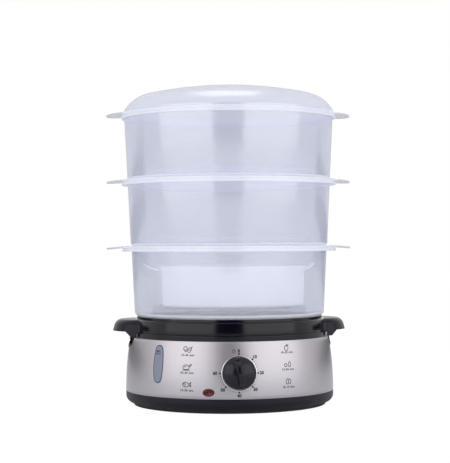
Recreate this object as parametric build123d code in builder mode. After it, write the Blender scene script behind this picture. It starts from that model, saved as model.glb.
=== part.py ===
from build123d import *
import math
import os

# Electric food steamer with three nesting baskets. Millimetres, +Z up, front towards -Y.
# The origin is on the axis of the stack, in the plane that the foot ring stands on.

os.makedirs("parts", exist_ok=True)

# ---------------------------------------------------------------- driving sizes
# Fits
seat_gap = 0.3  # upright gap between pieces that rest on each other
slip_gap = 0.4  # radial gap where one piece drops into another
shaft_gap = 0.05  # radial running gap of the timer shaft
snug_gap = 0.1  # gap round trim pressed into a hole

# Outside of the base. The radii of all that stands on it are given as steps from this one.
base_radius = 120.0
side_radius = 318.0  # radius of the upright curve of the steel side
side_plumb_height = 20.0  # height at which that curve stands upright
band_bottom = 16.6
band_top = 78.6
sheet = 0.6  # steel thickness
sheet_gap = 0.15
shell_wall = 2.2
lead_in = 0.8  # small rounding on moulded edges
side_steps = 6  # straight steps that follow the side's curve behind the steel

# Lower shell and foot ring
shell_bottom = 3.0
shell_corner = 8.5
foot_inset = 9.0
foot_width = 9.0
foot_tongue = 3.0
foot_tongue_depth = 1.6
upstand_height = 1.6
upstand_thickness = 2.0
vent_length = 26.0
vent_width = 4.0
vent_count = 10
vent_inset = 58.0

# Tank, deck and top ring
ring_top = 84.4
ring_width = 2.85
deck_top = 78.0
deck_thickness = 2.4
timer_bay = 36.0  # from the base's radius in to the tank; the timer stands here
tank_wall = 2.4
tank_floor_top = 27.0
tank_floor = 2.6
tank_corner = 8.0

# Side water inlets
inlet_half_width = 26.5
inlet_drop = 12.6
inlet_wall = 2.6
inlet_proud = 1.0

# Water window
window_azimuth = -46.6
window_height = 52.7
window_width = 14.4
window_length = 41.6
window_cap = 0.26  # length of each rounded end as a share of the window's length
window_cap_width = 0.82  # width where the ends begin as a share of the window's width
window_flange = 2.6
window_flange_thickness = 1.0
window_proud = 0.2
seal_thickness = 1.0
duct_width = 25.0
duct_wall = 2.4
duct_pad = 4.4

# Indicator
lens_azimuth = -16.0
lens_height = 23.9
lens_width = 13.0
lens_depth = 8.7
lens_step = 1.1
lens_proud = 1.5
lens_rounding = 1.2
lens_front = 1.0  # thickness before the lamp
lens_length = 8.0
lamp_radius = 2.0
lamp_length = 13.0

# Heater under the tank floor
heater_radius = 40.0
heater_flange = 47.0
heater_flange_thickness = 2.0
heater_rise = 1.0
heater_edge = 6.0
heater_dish = 31.0  # radius of the sunken middle
seal_height = 3.0
seal_width = 5.0
seal_outer = 46.4
clamp_width = 5.0
clamp_outer = 47.6
clamp_thickness = 2.0
clamp_screw_circle = 51.0
clamp_screw_count = 3
post_radius = 3.4
heater_tube_circle = 30.0
heater_tube_radius = 4.0
heater_tube_arc = 300.0
heater_pin_radius = 1.8
heater_pin_length = 5.0
pin_turn = 2.0  # degrees from the tube's end to its pin
thermostat_radius = 8.5
thermostat_height = 6.0
thermostat_step = 1.5
tag_place = 4.0
tag_thickness = 0.8
tag_width = 6.0
tag_length = 4.0
fuse_radius = 2.2
fuse_length = 22.0
fuse_offset = -17.0
clip_thickness = 0.6
clip_width = 6.0
clip_foot = 5.0

# Timer behind the front wall; its axis stands square on the steel
knob_height = 44.8
bezel_radius = 19.1
bezel_width = 0.8
bezel_proud = 0.6
bezel_reach = 2.0  # how far the rim is carried into the steel before it is trimmed
shaft_hole = 4.5
frame_depth = 10.0
frame_width = 58.0
frame_height = 36.0
frame_thickness = 1.2
frame_corner = 4.0
frame_screw_spread = 25.5
case_width = 43.0
case_height = 38.0
case_corner = 5.0
bell_radius = 16.0
bell_depth = 4.4
bell_wall = 1.0
bell_taper = 25.0
bell_room = 2.0  # left between the bell and the tank
shaft_radius = 3.0
shaft_flat = 0.6
shaft_share = 0.6  # how deep the shaft goes into the case as a share of its depth
shaft_in_knob = 9.0

# Knob
knob_radius = 17.5
knob_gap = 0.9
knob_edge = 3.4
knob_dome = 10.0
knob_lead = (-0.35, 1)  # direction in which the dome leaves the knob's edge
knob_total = 19.4
grip_length = 33.5
grip_width = 10.5
grip_taper = 7.0
knob_rest_turn = 13.0

# Screws
screw_shank = 1.5
screw_head = 2.8
screw_head_height = 1.8
screw_tip = 1.0  # hole left beyond a screw's end
cross_width = 0.8
cover_shank = 1.9
cover_head = 3.6
cover_head_height = 2.4
cover_length = 16.0
boss_radius = 4.4
boss_inset = 26.5
cover_angles = (-45.0, 45.0, 135.0, 200.0)
screw_seat_top = 9.0
seat_wall = 1.6

# Mains connection
cord_height = 11.0
cord_bore = 3.7
bush_radius = 4.8
bush_flange = 5.5
bush_inner_flange = 5.4
bush_flange_thickness = 2.0
cord_pad_width = 19.0
cord_pad_depth = 8.0
cord_pad_proud = 0.2
terminal_length = 28.0
terminal_width = 14.0
terminal_height = 11.0
terminal_hole = 1.8
terminal_inset = 28.0

# Steam ring, loose on the tank floor round the heater
steam_ring_foot = 51.0
steam_ring_flange = 54.0
steam_ring_top = 45.0
steam_ring_height = 42.0
steam_ring_wall = 1.8
steam_gate_width = 14.0
steam_gate_height = 7.0

# Drip tray
tray_inset = 8.2
tray_lean = 1.2  # how much narrower the tray is at its shoulder
tray_wall = 2.0
tray_shoulder = 98.9
tray_rim_inset = 12.8
tray_rim_top = 101.9
tray_floor = 88.0
tray_skirt_depth = 5.2
tray_corner = 1.6
chimney_radius = 28.0
chimney_top = 97.5
chimney_legs = 4
leg_circle = 29.2
leg_depth = 4.4
leg_width = 6.0
cap_radius = 35.0
cap_bottom = 102.0
cap_thickness = 1.8
handle_inset = 20.0  # the oval's centre is this far inside the base's radius
handle_overhang = 15.0
handle_half_width = 39.0
handle_top = 98.8
handle_underside = 85.6
handle_draft = 15.0
handle_wall = 2.2
handle_corner = 9.0
web_gap = 1.2  # room between the webs under the grip and the base

# Baskets, from the lowest
basket_wall = 1.8
basket_draft = 0.0478  # outward lean of the wall
basket_heights = (80.4, 75.9, 76.4)
basket_insets = (10.5, 6.1, 2.5)
basket_corners = (4.5, 2.4, 2.4)
basket_floor_corner = 1.0
nest_depth = 9.5
skirt_wall = 1.6
rim_overhang = 4.2
rim_height = 6.2
rim_thickness = 2.0
lip_thickness = 1.8
groove_depth = 0.7
groove_height = 1.1
plateau_rise = 11.0
plateau_inset = 19.5
plateau_slope = 1.0
ear_overhang = 22.0
ear_overlap = 4.4  # how far the ear runs in under the rim
ear_centre = 2.0  # the ear's oval is centred this far inside its root
ear_half_width = 33.0
ear_thickness = 1.9
ear_droop = 5.4
ear_slot_place = 0.44  # place of the slot between the rim and the ear's end
ear_slot_length = 20.0
ear_slot_width = 0.337  # width of the slot as a share of that distance
grille_circles = (0.822, 0.556, 0.289)  # shares of the raised floor's radius
grille_counts = (20, 14, 8)
grille_slot_length = 15.0
grille_slot_width = 3.6

# Rice bowl
bowl_inset = 21.0
bowl_flat_inset = 38.5
bowl_height = 46.5
bowl_wall = 1.8
bowl_taper = 2.0
bowl_corner = 9.0
bowl_foot_corner = 4.0
bowl_rim_height = 5.0
bowl_rim_width = 1.8
bowl_ear_inset = 18.0
bowl_ear_rise = 7.0
bowl_ear_width = 52.0
bowl_ear_band = 5.5
bowl_ear_thickness = 2.0

# Lid
lid_overhang = 2.0
lid_wall = 1.8
lid_total = 31.7
lid_crown_radius = 455.0
lid_shoulder_inset = 25.4
lid_plug_depth = 6.0
lid_edge = 1.6  # upright face at the lid's edge
lid_bulge = 0.66  # height of the shoulder's bulge as a share of its rise
lid_bulge_inset = 10.3

# ---------------------------------------------------------------- worked-out sizes
foot_outer = base_radius - foot_inset
foot_inner = foot_outer - foot_width
vent_circle = base_radius - vent_inset
skirt_inset = sheet + sheet_gap
tank_radius = base_radius - timer_bay
tank_outer = tank_radius + tank_wall
tank_underside = tank_floor_top - tank_floor
deck_underside = deck_top - deck_thickness
shell_floor_top = shell_bottom + shell_wall
skirt_bottom = band_bottom + seat_gap
boss_circle = base_radius - boss_inset
terminal_place = base_radius - terminal_inset
tray_radius = base_radius - tray_inset
tray_top_radius = tray_radius - tray_lean
tray_rim_outer = base_radius - tray_rim_inset
handle_centre = base_radius - handle_inset
handle_reach = base_radius + handle_overhang
basket_radii = [base_radius - inset for inset in basket_insets]
rim_radius = base_radius + rim_overhang
ear_root = rim_radius - ear_overlap
ear_reach = base_radius + ear_overhang
bowl_radius = base_radius - bowl_inset
bowl_half_length = base_radius - bowl_flat_inset
bowl_ear_reach = base_radius - bowl_ear_inset
lid_radius = base_radius + lid_overhang
lid_shoulder = base_radius - lid_shoulder_inset


def side_r(height, inset=0.0):
    """Radius of the curved side at a height, some way in from the steel's outer face."""
    reach = side_radius - inset
    return base_radius - side_radius + math.sqrt(reach**2 - (height - side_plumb_height) ** 2)


def side_arc(inset, low, high):
    """The side's curve between two heights, from low to high."""
    middle = (low + high) / 2
    ThreePointArc(*[(side_r(z, inset), z) for z in (low, middle, high)])


def side_points(inset, low, high):
    """Points of the side's curve at even heights, from low to high."""
    heights = [low + (high - low) * i / side_steps for i in range(side_steps + 1)]
    return [(side_r(z, inset), z) for z in heights]


def side_band(outer_inset, inner_inset, low, high):
    """Closed outline of a sheet that follows the side in straight steps."""
    Polyline(*side_points(outer_inset, low, high), *side_points(inner_inset, high, low), close=True)


def side_core(inset, inner_radius, low, high):
    """Closed outline of all that lies between an upright cylinder and the side."""
    Polyline(*side_points(inset, low, high), (inner_radius, high), (inner_radius, low), close=True)


def facing(azimuth, height, distance=0.0):
    """Upright plane that looks outward. Azimuth 0 is the front and grows to the right seen from there."""
    a = math.radians(azimuth)
    return Plane(
        origin=(distance * math.sin(a), -distance * math.cos(a), height),
        x_dir=(math.cos(a), math.sin(a), 0),
        z_dir=(math.sin(a), -math.cos(a), 0),
    )


def window_outline(growth):
    """The window's long oval, two bowed sides and two rounded ends, larger all round by growth."""
    half, tip = window_width / 2 + growth, window_length / 2 + growth
    neck, level = half * window_cap_width, tip - window_cap * window_length / 2
    ThreePointArc((neck, -level), (half, 0), (neck, level))
    ThreePointArc((neck, level), (0, tip), (-neck, level))
    ThreePointArc((-neck, level), (-half, 0), (-neck, -level))
    ThreePointArc((-neck, -level), (0, -tip), (neck, -level))


def radial_plane(angle):
    """Plane through the axis, with x outward at an angle from +X and y up."""
    a = math.radians(angle)
    return Plane(
        origin=(0, 0, 0),
        x_dir=(math.cos(a), math.sin(a), 0),
        z_dir=(math.sin(a), -math.cos(a), 0),
    )


def finish(builder, name):
    """Labels a finished piece and writes it."""
    builder.part.label = name
    export_step(builder.part, f"parts/{name}.step")


# The knob's plane touches the steel at the knob's centre and looks along the timer shaft.
knob_lean = math.asin((knob_height - side_plumb_height) / side_radius)
knob_plane = Plane(
    origin=(0, -side_r(knob_height), knob_height),
    x_dir=(1, 0, 0),
    z_dir=(0, -math.cos(knob_lean), math.sin(knob_lean)),
)

cover_spots = [
    (boss_circle * math.cos(math.radians(a)), boss_circle * math.sin(math.radians(a)))
    for a in cover_angles
]
frame_spots = [(-frame_screw_spread, 0), (frame_screw_spread, 0)]
clamp_turns = [90.0 + 360.0 / clamp_screw_count * i for i in range(clamp_screw_count)]
clamp_spots = [
    (clamp_screw_circle * math.cos(math.radians(a)), clamp_screw_circle * math.sin(math.radians(a)))
    for a in clamp_turns
]

# ---------------------------------------------------------------- foot ring
foot_middle = (foot_outer + foot_inner) / 2
tongue_in = foot_middle - foot_tongue / 2
tongue_out = foot_middle + foot_tongue / 2

with BuildPart() as foot_ring:
    with BuildSketch(Plane.XZ):
        with BuildLine():
            Polyline(
                (foot_inner, 0),
                (foot_outer, 0),
                (foot_outer, shell_bottom),
                (tongue_out, shell_bottom),
                (tongue_out, shell_bottom + foot_tongue_depth),
                (tongue_in, shell_bottom + foot_tongue_depth),
                (tongue_in, shell_bottom),
                (foot_inner, shell_bottom),
                close=True,
            )
        make_face()
    revolve(axis=Axis.Z)
finish(foot_ring, "foot_ring")

# ---------------------------------------------------------------- lower shell
skirt_inner = side_r(band_bottom, skirt_inset + shell_wall)
upstand_outer = skirt_inner - seat_gap
upstand_inner = upstand_outer - upstand_thickness
shell_inner = base_radius - shell_wall
groove_floor = shell_bottom + foot_tongue_depth + snug_gap
pad_face = base_radius + cord_pad_proud

with BuildPart() as bottom_shell:
    with BuildSketch(Plane.XZ):
        with BuildLine():
            FilletPolyline(
                (0, shell_bottom),
                (tongue_in - snug_gap, shell_bottom),
                (tongue_in - snug_gap, groove_floor),
                (tongue_out + snug_gap, groove_floor),
                (tongue_out + snug_gap, shell_bottom),
                (base_radius, shell_bottom),
                (base_radius, band_bottom),
                (upstand_outer, band_bottom),
                (upstand_outer, band_bottom + upstand_height),
                (upstand_inner, band_bottom + upstand_height),
                (upstand_inner, band_bottom - shell_wall),
                (shell_inner, band_bottom - shell_wall),
                (shell_inner, shell_floor_top),
                (tongue_out + shell_wall, shell_floor_top),
                (tongue_out + shell_wall, groove_floor + shell_wall),
                (tongue_in - shell_wall, groove_floor + shell_wall),
                (tongue_in - shell_wall, shell_floor_top),
                (0, shell_floor_top),
                close=True,
                radius=[0, 0, 0, 0, 0, shell_corner, 0, 0, 0, 0, 0, 0, shell_corner - shell_wall]
                + [0] * 5,
            )
        make_face()
    revolve(axis=Axis.Z)
    # seats for the cover screws
    with BuildSketch(Plane.XY.offset(shell_floor_top)):
        with Locations(*cover_spots):
            Circle(boss_radius + seat_wall)
    extrude(amount=screw_seat_top - shell_floor_top)
    with BuildSketch(Plane.XY.offset(shell_bottom)):
        with Locations(*cover_spots):
            Circle(cover_shank + snug_gap)
    extrude(amount=screw_seat_top - shell_bottom, mode=Mode.SUBTRACT)
    with BuildSketch(Plane.XY.offset(shell_bottom)):
        with Locations(*cover_spots):
            Circle(cover_head + slip_gap)
    extrude(amount=screw_seat_top - shell_bottom - shell_wall, mode=Mode.SUBTRACT)
    # drain and air slots
    with BuildSketch(Plane.XY.offset(shell_bottom)):
        with PolarLocations(vent_circle, vent_count):
            SlotOverall(vent_length, vent_width)
    extrude(amount=shell_wall, mode=Mode.SUBTRACT)
    # flat pad where the cord bush sits
    with BuildSketch(facing(180, cord_height, pad_face)):
        Rectangle(cord_pad_width, 2 * (band_bottom - cord_height))
    extrude(amount=-cord_pad_depth)
    with BuildSketch(facing(180, cord_height, pad_face)):
        Circle(bush_radius + snug_gap)
    extrude(amount=-cord_pad_depth, mode=Mode.SUBTRACT)
finish(bottom_shell, "bottom_shell")

# ---------------------------------------------------------------- steel wrap
with BuildPart() as steel_band:
    with BuildSketch(Plane.XZ):
        with BuildLine():
            side_arc(0, band_bottom, band_top)
            Line((side_r(band_top), band_top), (side_r(band_top, sheet), band_top))
            side_arc(sheet, band_top, band_bottom)
            Line((side_r(band_bottom, sheet), band_bottom), (side_r(band_bottom), band_bottom))
        make_face()
    revolve(axis=Axis.Z)
    # pressed rim round the knob
    with BuildSketch(knob_plane.offset(bezel_proud)):
        Circle(bezel_radius)
        Circle(bezel_radius - bezel_width, mode=Mode.SUBTRACT)
    extrude(amount=-bezel_proud - bezel_reach)
    with BuildSketch(Plane.XZ):
        with BuildLine():
            side_core(skirt_inset, tank_radius, band_bottom, band_top)
        make_face()
    revolve(axis=Axis.Z, mode=Mode.SUBTRACT)
    with BuildSketch(knob_plane):
        Circle(shaft_hole)
    extrude(amount=base_radius / 4, both=True, mode=Mode.SUBTRACT)
    with BuildSketch(facing(window_azimuth, window_height)):
        with BuildLine():
            window_outline(snug_gap)
        make_face()
    extrude(amount=2 * base_radius, mode=Mode.SUBTRACT)
    with BuildSketch(facing(lens_azimuth, lens_height)):
        Ellipse(lens_width / 2 - lens_step + snug_gap, lens_depth / 2 - lens_step + snug_gap)
    extrude(amount=2 * base_radius, mode=Mode.SUBTRACT)
    for side in (90, -90):
        with BuildSketch(facing(side, band_top)):
            Ellipse(inlet_half_width + snug_gap, inlet_drop + snug_gap)
        extrude(amount=2 * base_radius, mode=Mode.SUBTRACT)
finish(steel_band, "steel_band")

# ---------------------------------------------------------------- tank body
# Side inlet: a half-moon spout that runs from the tank wall out to a lip just proud of the steel.
with BuildPart() as inlet:
    with BuildSketch(facing(90, band_top, tank_radius + shell_wall / 2)):
        Ellipse(inlet_half_width, inlet_drop)
        Rectangle(
            3 * inlet_half_width,
            2 * inlet_drop,
            align=(Align.CENTER, Align.MAX),
            mode=Mode.INTERSECT,
        )
    extrude(amount=base_radius)
    with BuildSketch(Plane.XZ):
        with BuildLine():
            side_core(-inlet_proud, tank_radius, band_bottom, band_top)
        make_face()
    revolve(axis=Axis.Z, mode=Mode.INTERSECT)
    mirror(about=Plane.YZ)

# Duct that lets the tank's water stand behind the window.
with BuildPart() as window_duct:
    with BuildSketch(facing(window_azimuth, tank_underside, tank_radius + shell_wall / 2)):
        Rectangle(duct_width, deck_underside - tank_underside + lead_in, align=(Align.CENTER, Align.MIN))
    extrude(amount=base_radius)
    with BuildSketch(Plane.XZ):
        with BuildLine():
            side_core(skirt_inset, tank_radius, band_bottom, band_top)
        make_face()
    revolve(axis=Axis.Z, mode=Mode.INTERSECT)

# Oval pocket in the duct's front for the window's flange and its seal.
pocket_depth = window_flange_thickness + seal_thickness + snug_gap
with BuildPart() as window_pocket:
    with BuildSketch(Plane.XZ):
        with BuildLine():
            side_band(0, skirt_inset + pocket_depth, band_bottom, band_top)
        make_face()
    revolve(axis=Axis.Z)
    with BuildSketch(facing(window_azimuth, window_height)):
        with BuildLine():
            window_outline(window_flange + snug_gap)
        make_face()
    extrude(amount=2 * base_radius, mode=Mode.INTERSECT)

# Two posts behind the front wall that carry the timer.
with BuildPart() as timer_posts:
    with BuildSketch(knob_plane.offset(-frame_depth)):
        with Locations(*frame_spots):
            Circle(boss_radius)
    extrude(amount=2 * frame_depth)
    with BuildSketch(Plane.XZ):
        with BuildLine():
            side_core(skirt_inset + shell_wall / 2, tank_radius, band_bottom, band_top)
        make_face()
    revolve(axis=Axis.Z, mode=Mode.INTERSECT)

ring_outer = side_r(band_top, skirt_inset)
ring_inner = ring_outer - ring_width
heater_hole = heater_radius + slip_gap
clamp_top = tank_underside - seal_height - heater_flange_thickness

with BuildPart() as tank_body:
    with BuildSketch(Plane.XZ):
        with BuildLine():
            Polyline(*side_points(skirt_inset, skirt_bottom, band_top))
            FilletPolyline(
                (ring_outer, band_top),
                (ring_outer, ring_top),
                (ring_inner, ring_top),
                (ring_inner, deck_top),
                (tank_radius, deck_top),
                (tank_radius, tank_floor_top),
                (heater_hole, tank_floor_top),
                (heater_hole, tank_underside),
                (tank_outer, tank_underside),
                (tank_outer, deck_underside),
                (side_r(deck_underside, skirt_inset + shell_wall), deck_underside),
                radius=[lead_in, 0, 0, 0, tank_corner, 0, 0, tank_corner + tank_wall, 0],
            )
            Polyline(
                *side_points(skirt_inset + shell_wall, deck_underside, skirt_bottom),
                (side_r(skirt_bottom, skirt_inset), skirt_bottom),
            )
        make_face()
    revolve(axis=Axis.Z)
    add(inlet.part)
    add(window_duct.part)
    add(timer_posts.part)
    # screw columns between the tank and the outer wall
    with BuildSketch(Plane.XY.offset(screw_seat_top + seat_gap)):
        with Locations(*cover_spots):
            Circle(boss_radius)
    extrude(until=Until.NEXT)
    # clamp screw posts under the floor
    with BuildSketch(Plane.XY.offset(clamp_top)):
        with Locations(*clamp_spots):
            Circle(post_radius)
    extrude(amount=tank_underside - clamp_top)
    # water ways through the inlets
    for side in (90, -90):
        with BuildSketch(facing(side, band_top, tank_radius / 2)):
            Ellipse(inlet_half_width - inlet_wall, inlet_drop - inlet_wall)
            with Locations((0, deck_underside - band_top)):
                Rectangle(
                    3 * inlet_half_width,
                    2 * inlet_drop,
                    align=(Align.CENTER, Align.MAX),
                    mode=Mode.INTERSECT,
                )
        extrude(amount=base_radius, mode=Mode.SUBTRACT)
    # water way to the window, the window's pocket and its opening
    duct_room = duct_width - 2 * duct_wall
    with BuildSketch(facing(window_azimuth, tank_floor_top, tank_radius / 2)):
        Rectangle(duct_room, deck_underside - tank_floor_top, align=(Align.CENTER, Align.MIN))
    extrude(amount=side_r(band_top, skirt_inset + duct_pad) - tank_radius / 2, mode=Mode.SUBTRACT)
    add(window_pocket.part, mode=Mode.SUBTRACT)
    with BuildSketch(facing(window_azimuth, window_height, tank_radius)):
        with BuildLine():
            window_outline(0)
        make_face()
    extrude(amount=base_radius, mode=Mode.SUBTRACT)
    # shaft, lamp and screw holes
    with BuildSketch(knob_plane.offset(-frame_depth)):
        Circle(shaft_hole)
    extrude(amount=2 * frame_depth, mode=Mode.SUBTRACT)
    with BuildSketch(knob_plane.offset(-frame_depth)):
        with Locations(*frame_spots):
            Circle(screw_shank + snug_gap)
    extrude(amount=frame_depth / 2, mode=Mode.SUBTRACT)
    with BuildSketch(facing(lens_azimuth, lens_height, (tank_outer + base_radius) / 2)):
        Ellipse(lens_width / 2 - lens_step + snug_gap, lens_depth / 2 - lens_step + snug_gap)
    extrude(amount=base_radius, mode=Mode.SUBTRACT)
    with BuildSketch(Plane.XY.offset(screw_seat_top)):
        with Locations(*cover_spots):
            Circle(cover_shank + snug_gap)
    extrude(amount=cover_length, mode=Mode.SUBTRACT)
    with BuildSketch(Plane.XY.offset(clamp_top)):
        with Locations(*clamp_spots):
            Circle(screw_shank + snug_gap)
    extrude(amount=seal_height + screw_tip, mode=Mode.SUBTRACT)
finish(tank_body, "tank_body")

# ---------------------------------------------------------------- cover screws
with BuildPart() as cover_screws:
    head_top = screw_seat_top - shell_wall
    with BuildSketch(Plane.XY.offset(head_top - cover_head_height)):
        with Locations(*cover_spots):
            Circle(cover_head)
    extrude(amount=cover_head_height)
    with BuildSketch(Plane.XY.offset(head_top)):
        with Locations(*cover_spots):
            Circle(cover_shank)
    extrude(amount=cover_length)
    with BuildSketch(Plane.XY.offset(head_top - cover_head_height)):
        with Locations(*cover_spots):
            Rectangle(cover_head, cross_width)
            Rectangle(cross_width, cover_head)
    extrude(amount=cover_head_height / 2, mode=Mode.SUBTRACT)
finish(cover_screws, "cover_screws")

# ---------------------------------------------------------------- water window and seal
with BuildPart() as water_window:
    with BuildSketch(Plane.XZ):
        with BuildLine():
            side_band(-window_proud, skirt_inset + window_flange_thickness, band_bottom, band_top)
        make_face()
    revolve(axis=Axis.Z)
    with BuildSketch(facing(window_azimuth, window_height)):
        with BuildLine():
            window_outline(0)
        make_face()
    extrude(amount=2 * base_radius, mode=Mode.INTERSECT)
with BuildPart() as window_rim:
    with BuildSketch(Plane.XZ):
        with BuildLine():
            side_band(skirt_inset, skirt_inset + window_flange_thickness, band_bottom, band_top)
        make_face()
    revolve(axis=Axis.Z)
    with BuildSketch(facing(window_azimuth, window_height)):
        with BuildLine():
            window_outline(window_flange)
        make_face()
    extrude(amount=2 * base_radius, mode=Mode.INTERSECT)
with water_window:
    add(window_rim.part)
finish(water_window, "water_window")

with BuildPart() as window_seal:
    with BuildSketch(Plane.XZ):
        with BuildLine():
            side_band(
                skirt_inset + window_flange_thickness,
                skirt_inset + window_flange_thickness + seal_thickness,
                band_bottom,
                band_top,
            )
        make_face()
    revolve(axis=Axis.Z)
    with BuildSketch(facing(window_azimuth, window_height)):
        with BuildLine():
            window_outline(window_flange)
        make_face()
    extrude(amount=2 * base_radius, mode=Mode.INTERSECT)
    with BuildSketch(facing(window_azimuth, window_height)):
        with BuildLine():
            window_outline(0)
        make_face()
    extrude(amount=2 * base_radius, mode=Mode.SUBTRACT)
finish(window_seal, "window_seal")

# ---------------------------------------------------------------- indicator
lens_face = side_r(lens_height) + snug_gap
lens_axis = Axis((0, 0, lens_height), facing(lens_azimuth, lens_height).z_dir)
with BuildPart() as indicator_lens:
    with BuildSketch(facing(lens_azimuth, lens_height, lens_face)):
        Ellipse(lens_width / 2, lens_depth / 2)
    extrude(amount=lens_proud)
    fillet(indicator_lens.faces().sort_by(lens_axis)[-1].edges(), lens_rounding)
    with BuildSketch(facing(lens_azimuth, lens_height, lens_face)):
        Ellipse(lens_width / 2 - lens_step, lens_depth / 2 - lens_step)
    extrude(amount=-lens_length)
    with BuildSketch(facing(lens_azimuth, lens_height, lens_face - lens_length)):
        Circle(lamp_radius + snug_gap)
    extrude(amount=lens_length - lens_front, mode=Mode.SUBTRACT)
finish(indicator_lens, "indicator_lens")

with BuildPart() as neon_lamp:
    with BuildSketch(facing(lens_azimuth, lens_height, lens_face - lens_front - seat_gap)):
        Circle(lamp_radius)
    extrude(amount=-lamp_length)
    fillet(neon_lamp.edges(), lead_in)
finish(neon_lamp, "neon_lamp")

# ---------------------------------------------------------------- heater
flange_top = tank_underside - seal_height
with BuildPart() as heater_plate:
    with BuildSketch(Plane.XZ):
        with BuildLine():
            FilletPolyline(
                (0, clamp_top),
                (heater_flange, clamp_top),
                (heater_flange, flange_top),
                (heater_radius, flange_top),
                (heater_radius, tank_floor_top + heater_rise),
                (heater_radius - heater_edge, tank_floor_top + heater_rise),
                (heater_dish, tank_floor_top - heater_rise),
                (0, tank_floor_top - heater_rise),
                close=True,
                radius=[0, 0, 0, 0, lead_in, 0, 0, 0],
            )
        make_face()
    revolve(axis=Axis.Z)
finish(heater_plate, "heater_plate")

with BuildPart() as heater_seal:
    with BuildSketch(Plane.XY.offset(flange_top)):
        Circle(seal_outer)
        Circle(seal_outer - seal_width, mode=Mode.SUBTRACT)
    extrude(amount=seal_height)
finish(heater_seal, "heater_seal")

with BuildPart() as heater_clamp:
    with BuildSketch(Plane.XY.offset(clamp_top)):
        Circle(clamp_outer)
        with Locations(*clamp_spots):
            Circle(boss_radius)
        Circle(heater_flange - clamp_width, mode=Mode.SUBTRACT)
        with Locations(*clamp_spots):
            Circle(screw_shank + snug_gap, mode=Mode.SUBTRACT)
    extrude(amount=-clamp_thickness)
finish(heater_clamp, "heater_clamp")

with BuildPart() as heater_screws:
    with BuildSketch(Plane.XY.offset(clamp_top - clamp_thickness)):
        with Locations(*clamp_spots):
            Circle(screw_head)
    extrude(amount=-screw_head_height)
    with BuildSketch(Plane.XY.offset(clamp_top - clamp_thickness)):
        with Locations(*clamp_spots):
            Circle(screw_shank)
    extrude(amount=clamp_thickness + seal_height)
finish(heater_screws, "heater_screws")

tube_middle = clamp_top - heater_tube_radius
tube_start = 90 + (360 - heater_tube_arc) / 2
with BuildPart() as heater_tube:
    with BuildSketch(radial_plane(tube_start)):
        with Locations((heater_tube_circle, tube_middle)):
            Circle(heater_tube_radius)
    revolve(axis=Axis.Z, revolution_arc=heater_tube_arc)
    for turn in (tube_start + pin_turn, tube_start + heater_tube_arc - pin_turn):
        spot = radial_plane(turn).from_local_coords((heater_tube_circle, 0, 0))
        with BuildSketch(Plane.XY.offset(tube_middle)):
            with Locations((spot.X, spot.Y)):
                Circle(heater_pin_radius)
        extrude(amount=-heater_tube_radius - heater_pin_length)
finish(heater_tube, "heater_tube")

with BuildPart() as thermostat:
    with BuildSketch(Plane.XY.offset(clamp_top)):
        Circle(thermostat_radius)
    extrude(amount=-thermostat_height / 2)
    with BuildSketch(Plane.XY.offset(clamp_top - thermostat_height / 2)):
        Circle(thermostat_radius - thermostat_step)
    extrude(amount=-thermostat_height / 2)
    with BuildSketch(Plane.XY.offset(clamp_top - thermostat_height)):
        with Locations((-tag_place, 0), (tag_place, 0)):
            Rectangle(tag_thickness, tag_width)
    extrude(amount=-tag_length)
finish(thermostat, "thermostat")

fuse_middle = clamp_top - fuse_radius
with BuildPart() as thermal_fuse:
    with BuildSketch(Plane.YZ.offset(-fuse_length / 2)):
        with Locations((fuse_offset, fuse_middle)):
            Circle(fuse_radius)
    extrude(amount=fuse_length)
finish(thermal_fuse, "thermal_fuse")

clip_side = fuse_radius + snug_gap + clip_thickness / 2
clip_line = clamp_top - clip_thickness / 2
with BuildPart() as fuse_clip:
    with BuildSketch(Plane.YZ.offset(-clip_width / 2)):
        with BuildLine():
            FilletPolyline(
                (fuse_offset - clip_side - clip_foot, clip_line),
                (fuse_offset - clip_side, clip_line),
                (fuse_offset - clip_side, fuse_middle - clip_side),
                (fuse_offset + clip_side, fuse_middle - clip_side),
                (fuse_offset + clip_side, clip_line),
                (fuse_offset + clip_side + clip_foot, clip_line),
                radius=[0, clip_side * 0.8, clip_side * 0.8, 0],
            )
        trace(line_width=clip_thickness)
    extrude(amount=clip_width)
finish(fuse_clip, "fuse_clip")

# ---------------------------------------------------------------- timer
with BuildPart() as timer_frame:
    with BuildSketch(knob_plane.offset(-frame_depth)):
        RectangleRounded(frame_width, frame_height, frame_corner)
        Circle(shaft_hole, mode=Mode.SUBTRACT)
        with Locations(*frame_spots):
            Circle(screw_shank + snug_gap, mode=Mode.SUBTRACT)
    extrude(amount=-frame_thickness)
finish(timer_frame, "timer_frame")

case_front = frame_depth + frame_thickness
case_depth = side_r(knob_height) - case_front - bell_depth - bell_room - tank_outer
shaft_in_case = case_depth * shaft_share
with BuildPart() as timer_case:
    with BuildSketch(knob_plane.offset(-case_front)):
        RectangleRounded(case_width, case_height, case_corner)
    extrude(amount=-case_depth)
    with BuildSketch(knob_plane.offset(-case_front)):
        Circle(shaft_radius + shaft_gap)
    extrude(amount=-shaft_in_case - seat_gap, mode=Mode.SUBTRACT)
finish(timer_case, "timer_case")

bell_front = case_front + case_depth
with BuildPart() as timer_bell:
    with BuildSketch(knob_plane.offset(-bell_front)):
        Circle(bell_radius)
    extrude(amount=-bell_depth, taper=bell_taper)
    with BuildSketch(knob_plane.offset(-bell_front)):
        Circle(bell_radius - bell_wall)
    extrude(amount=-bell_depth + bell_wall, taper=bell_taper, mode=Mode.SUBTRACT)
finish(timer_bell, "timer_bell")

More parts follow.
